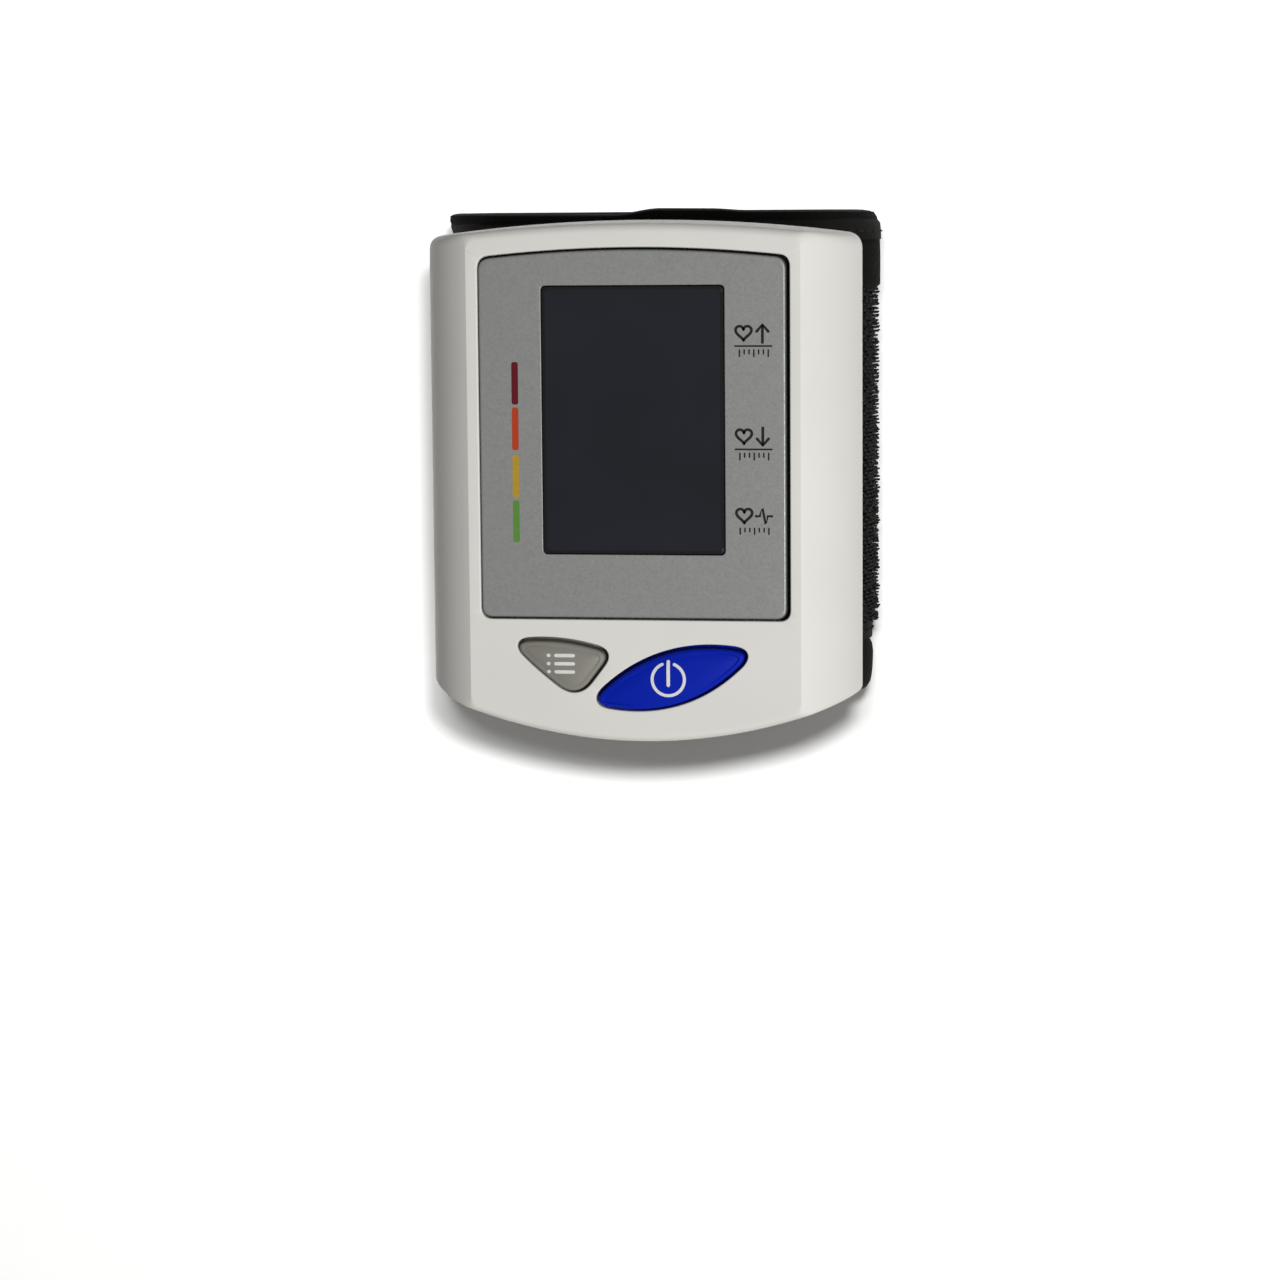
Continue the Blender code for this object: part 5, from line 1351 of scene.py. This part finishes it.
class MONITOR_OT_stage(bpy.types.Operator):
    """Lay the white paper, hang the lights and set up the camera"""
    bl_idname = "monitor.stage"
    bl_label = "Stage"

    def execute(self, context):
        sizes = context.scene.monitor_stage
        floor = self.paper(sizes)
        self.world(context.scene)
        camera = self.camera(context.scene, sizes)
        middle = Vector((0.0, 0.0, FRONT_Z))
        key = self.lamp("key_softbox", Vector((0.43, -0.12, 0.82)), middle, 0.30, 4.9)
        self.light_only(key, floor, 'EXCLUDE')
        eye, above = camera.matrix_world, 0.043
        for name, across, side, power in (("paper_lamp_right", 0.012, 0.028, 2.85),
                                          ("paper_lamp_left", -0.020, 0.040, 1.95)):
            place = eye.translation + eye.col[0].to_3d() * across + eye.col[1].to_3d() * above
            self.light_only(self.lamp(name, place, middle, side, power), floor, 'INCLUDE')
        context.scene.view_settings.view_transform = 'Standard'
        return {'FINISHED'}

    def light_only(self, lamp, floor, state):
        """Let a lamp light nothing but the paper, or everything but the paper."""
        lit = bpy.data.collections.new(f"lit_by_{lamp.name}")
        lit.objects.link(floor)
        lit.collection_objects[0].light_linking.link_state = state
        lamp.light_linking.receiver_collection = lit

    def paper(self, sizes):
        """Seamless white paper: the lamps for it alone burn it out round the shadow."""
        count = 12
        places = [sizes.floor_side * (step / count - 0.5) for step in range(count + 1)]
        skin = Skin()
        rows = [skin.ring([(x, y, 0.0) for x in places]) for y in places]
        for first, second in zip(rows, rows[1:]):
            skin.join(first, second, closed=False)
        finish = Finish("seamless_paper", {"Roughness": 0.9})
        finish.colours(finish.noise(3.0, 3.0), 0.3, 0.7, tuple(sizes.paper_colour), 0.99, 1.0)
        bounce = add_node(finish.tree, "BsdfDiffuse", {"Color": (0.16, 0.16, 0.155, 1.0)})
        show_and_light(finish.tree, bounce.outputs["BSDF"], finish.shader.outputs["BSDF"],
                       "Material Output")
        floor = skin.piece("paper_floor", finish.material, None)
        return floor

    def world(self, scene):
        """A room that is brighter on the right and below, and white where it is seen."""
        scene.world = bpy.data.worlds.new("studio")
        scene.world.use_nodes = True
        tree = scene.world.node_tree
        way = add_node(tree, "TexCoord", {}).outputs["Generated"]
        side = add_node(tree, "VectorMath", {"operation": 'DOT_PRODUCT', 0: way,
                                             1: (0.85, -0.4, 0.0)})
        power = add_node(tree, "MapRange", {"From Min": -1.0, "To Min": 0.02, "To Max": 0.50,
                                            "Value": side.outputs["Value"]})
        dim = tree.nodes["Background"]
        dim.inputs["Color"].default_value = (1.0, 0.985, 0.95, 1.0)
        tree.links.new(power.outputs["Result"], dim.inputs["Strength"])
        white = add_node(tree, "Background", {"Color": (1.0, 1.0, 1.0, 1.0), "Strength": 1.0})
        show_and_light(tree, dim.outputs["Background"], white.outputs["Background"],
                       "World Output")

    def lamp(self, name, place, aim, side, power):
        """A round soft lamp that points at a place."""
        light = bpy.data.lights.new(name, 'AREA')
        light.shape = 'DISK'
        light.size = side
        light.energy = power
        lamp = bpy.data.objects.new(name, light)
        lamp.location = place
        lamp.rotation_euler = (aim - place).to_track_quat('-Z', 'Y').to_euler()
        bpy.context.scene.collection.objects.link(lamp)
        return lamp

    def camera(self, scene, sizes):
        """The monitor stands above the middle of the picture, seen a little from its right."""
        back = Vector((math.sin(sizes.azimuth) * math.cos(sizes.tilt), math.sin(sizes.tilt),
                       math.cos(sizes.azimuth) * math.cos(sizes.tilt)))
        right = Vector((0.0, 1.0, 0.0)).cross(back).normalized()
        basis = Matrix((right, back.cross(right), back)).transposed()
        made = bpy.data.cameras.new("camera")
        made.lens, made.clip_start = sizes.lens, 0.01
        camera = bpy.data.objects.new("camera", made)
        camera.matrix_world = Matrix.Translation(sizes.camera_place) @ (
            basis @ Matrix.Rotation(sizes.roll, 3, 'Z')).to_4x4()
        scene.collection.objects.link(camera)
        scene.camera = camera
        return camera


class MONITOR_PT_panel(bpy.types.Panel):
    """Lists the builders and their settings"""
    bl_idname = "MONITOR_PT_panel"
    bl_label = "Blood pressure monitor"
    bl_space_type = 'VIEW_3D'
    bl_region_type = 'UI'
    bl_category = "Monitor"

    def draw(self, context):
        for settings, _ in SETTINGS:
            group = getattr(context.scene, settings)
            box = self.layout.box()
            for name in group.bl_rna.properties.keys():
                if name not in ("rna_type", "name"):
                    box.prop(group, name)
        for operator in OPERATORS:
            self.layout.operator(operator.bl_idname)


SETTINGS = (("monitor_housing", HousingSettings), ("monitor_keys", KeySettings),
            ("monitor_cuff", CuffSettings), ("monitor_stage", StageSettings))
OPERATORS = (MONITOR_OT_housing, MONITOR_OT_panel, MONITOR_OT_keys, MONITOR_OT_prints,
             MONITOR_OT_cuff, MONITOR_OT_edges, MONITOR_OT_hooks, MONITOR_OT_insides,
             MONITOR_OT_stage)


def register():
    for name, group in SETTINGS:
        bpy.utils.register_class(group)
        setattr(bpy.types.Scene, name, bpy.props.PointerProperty(type=group))
    for kind in (*OPERATORS, MONITOR_PT_panel):
        bpy.utils.register_class(kind)


def unregister():
    for kind in (MONITOR_PT_panel, *reversed(OPERATORS)):
        bpy.utils.unregister_class(kind)
    for name, group in reversed(SETTINGS):
        delattr(bpy.types.Scene, name)
        bpy.utils.unregister_class(group)


def main():
    register()
    bpy.ops.monitor.housing()
    bpy.ops.monitor.panel()
    bpy.ops.monitor.keys()
    bpy.ops.monitor.prints()
    bpy.ops.monitor.cuff()
    bpy.ops.monitor.edges()
    bpy.ops.monitor.hooks()
    bpy.ops.monitor.insides()
    bpy.ops.monitor.stage()


if __name__ == "__main__":
    main()
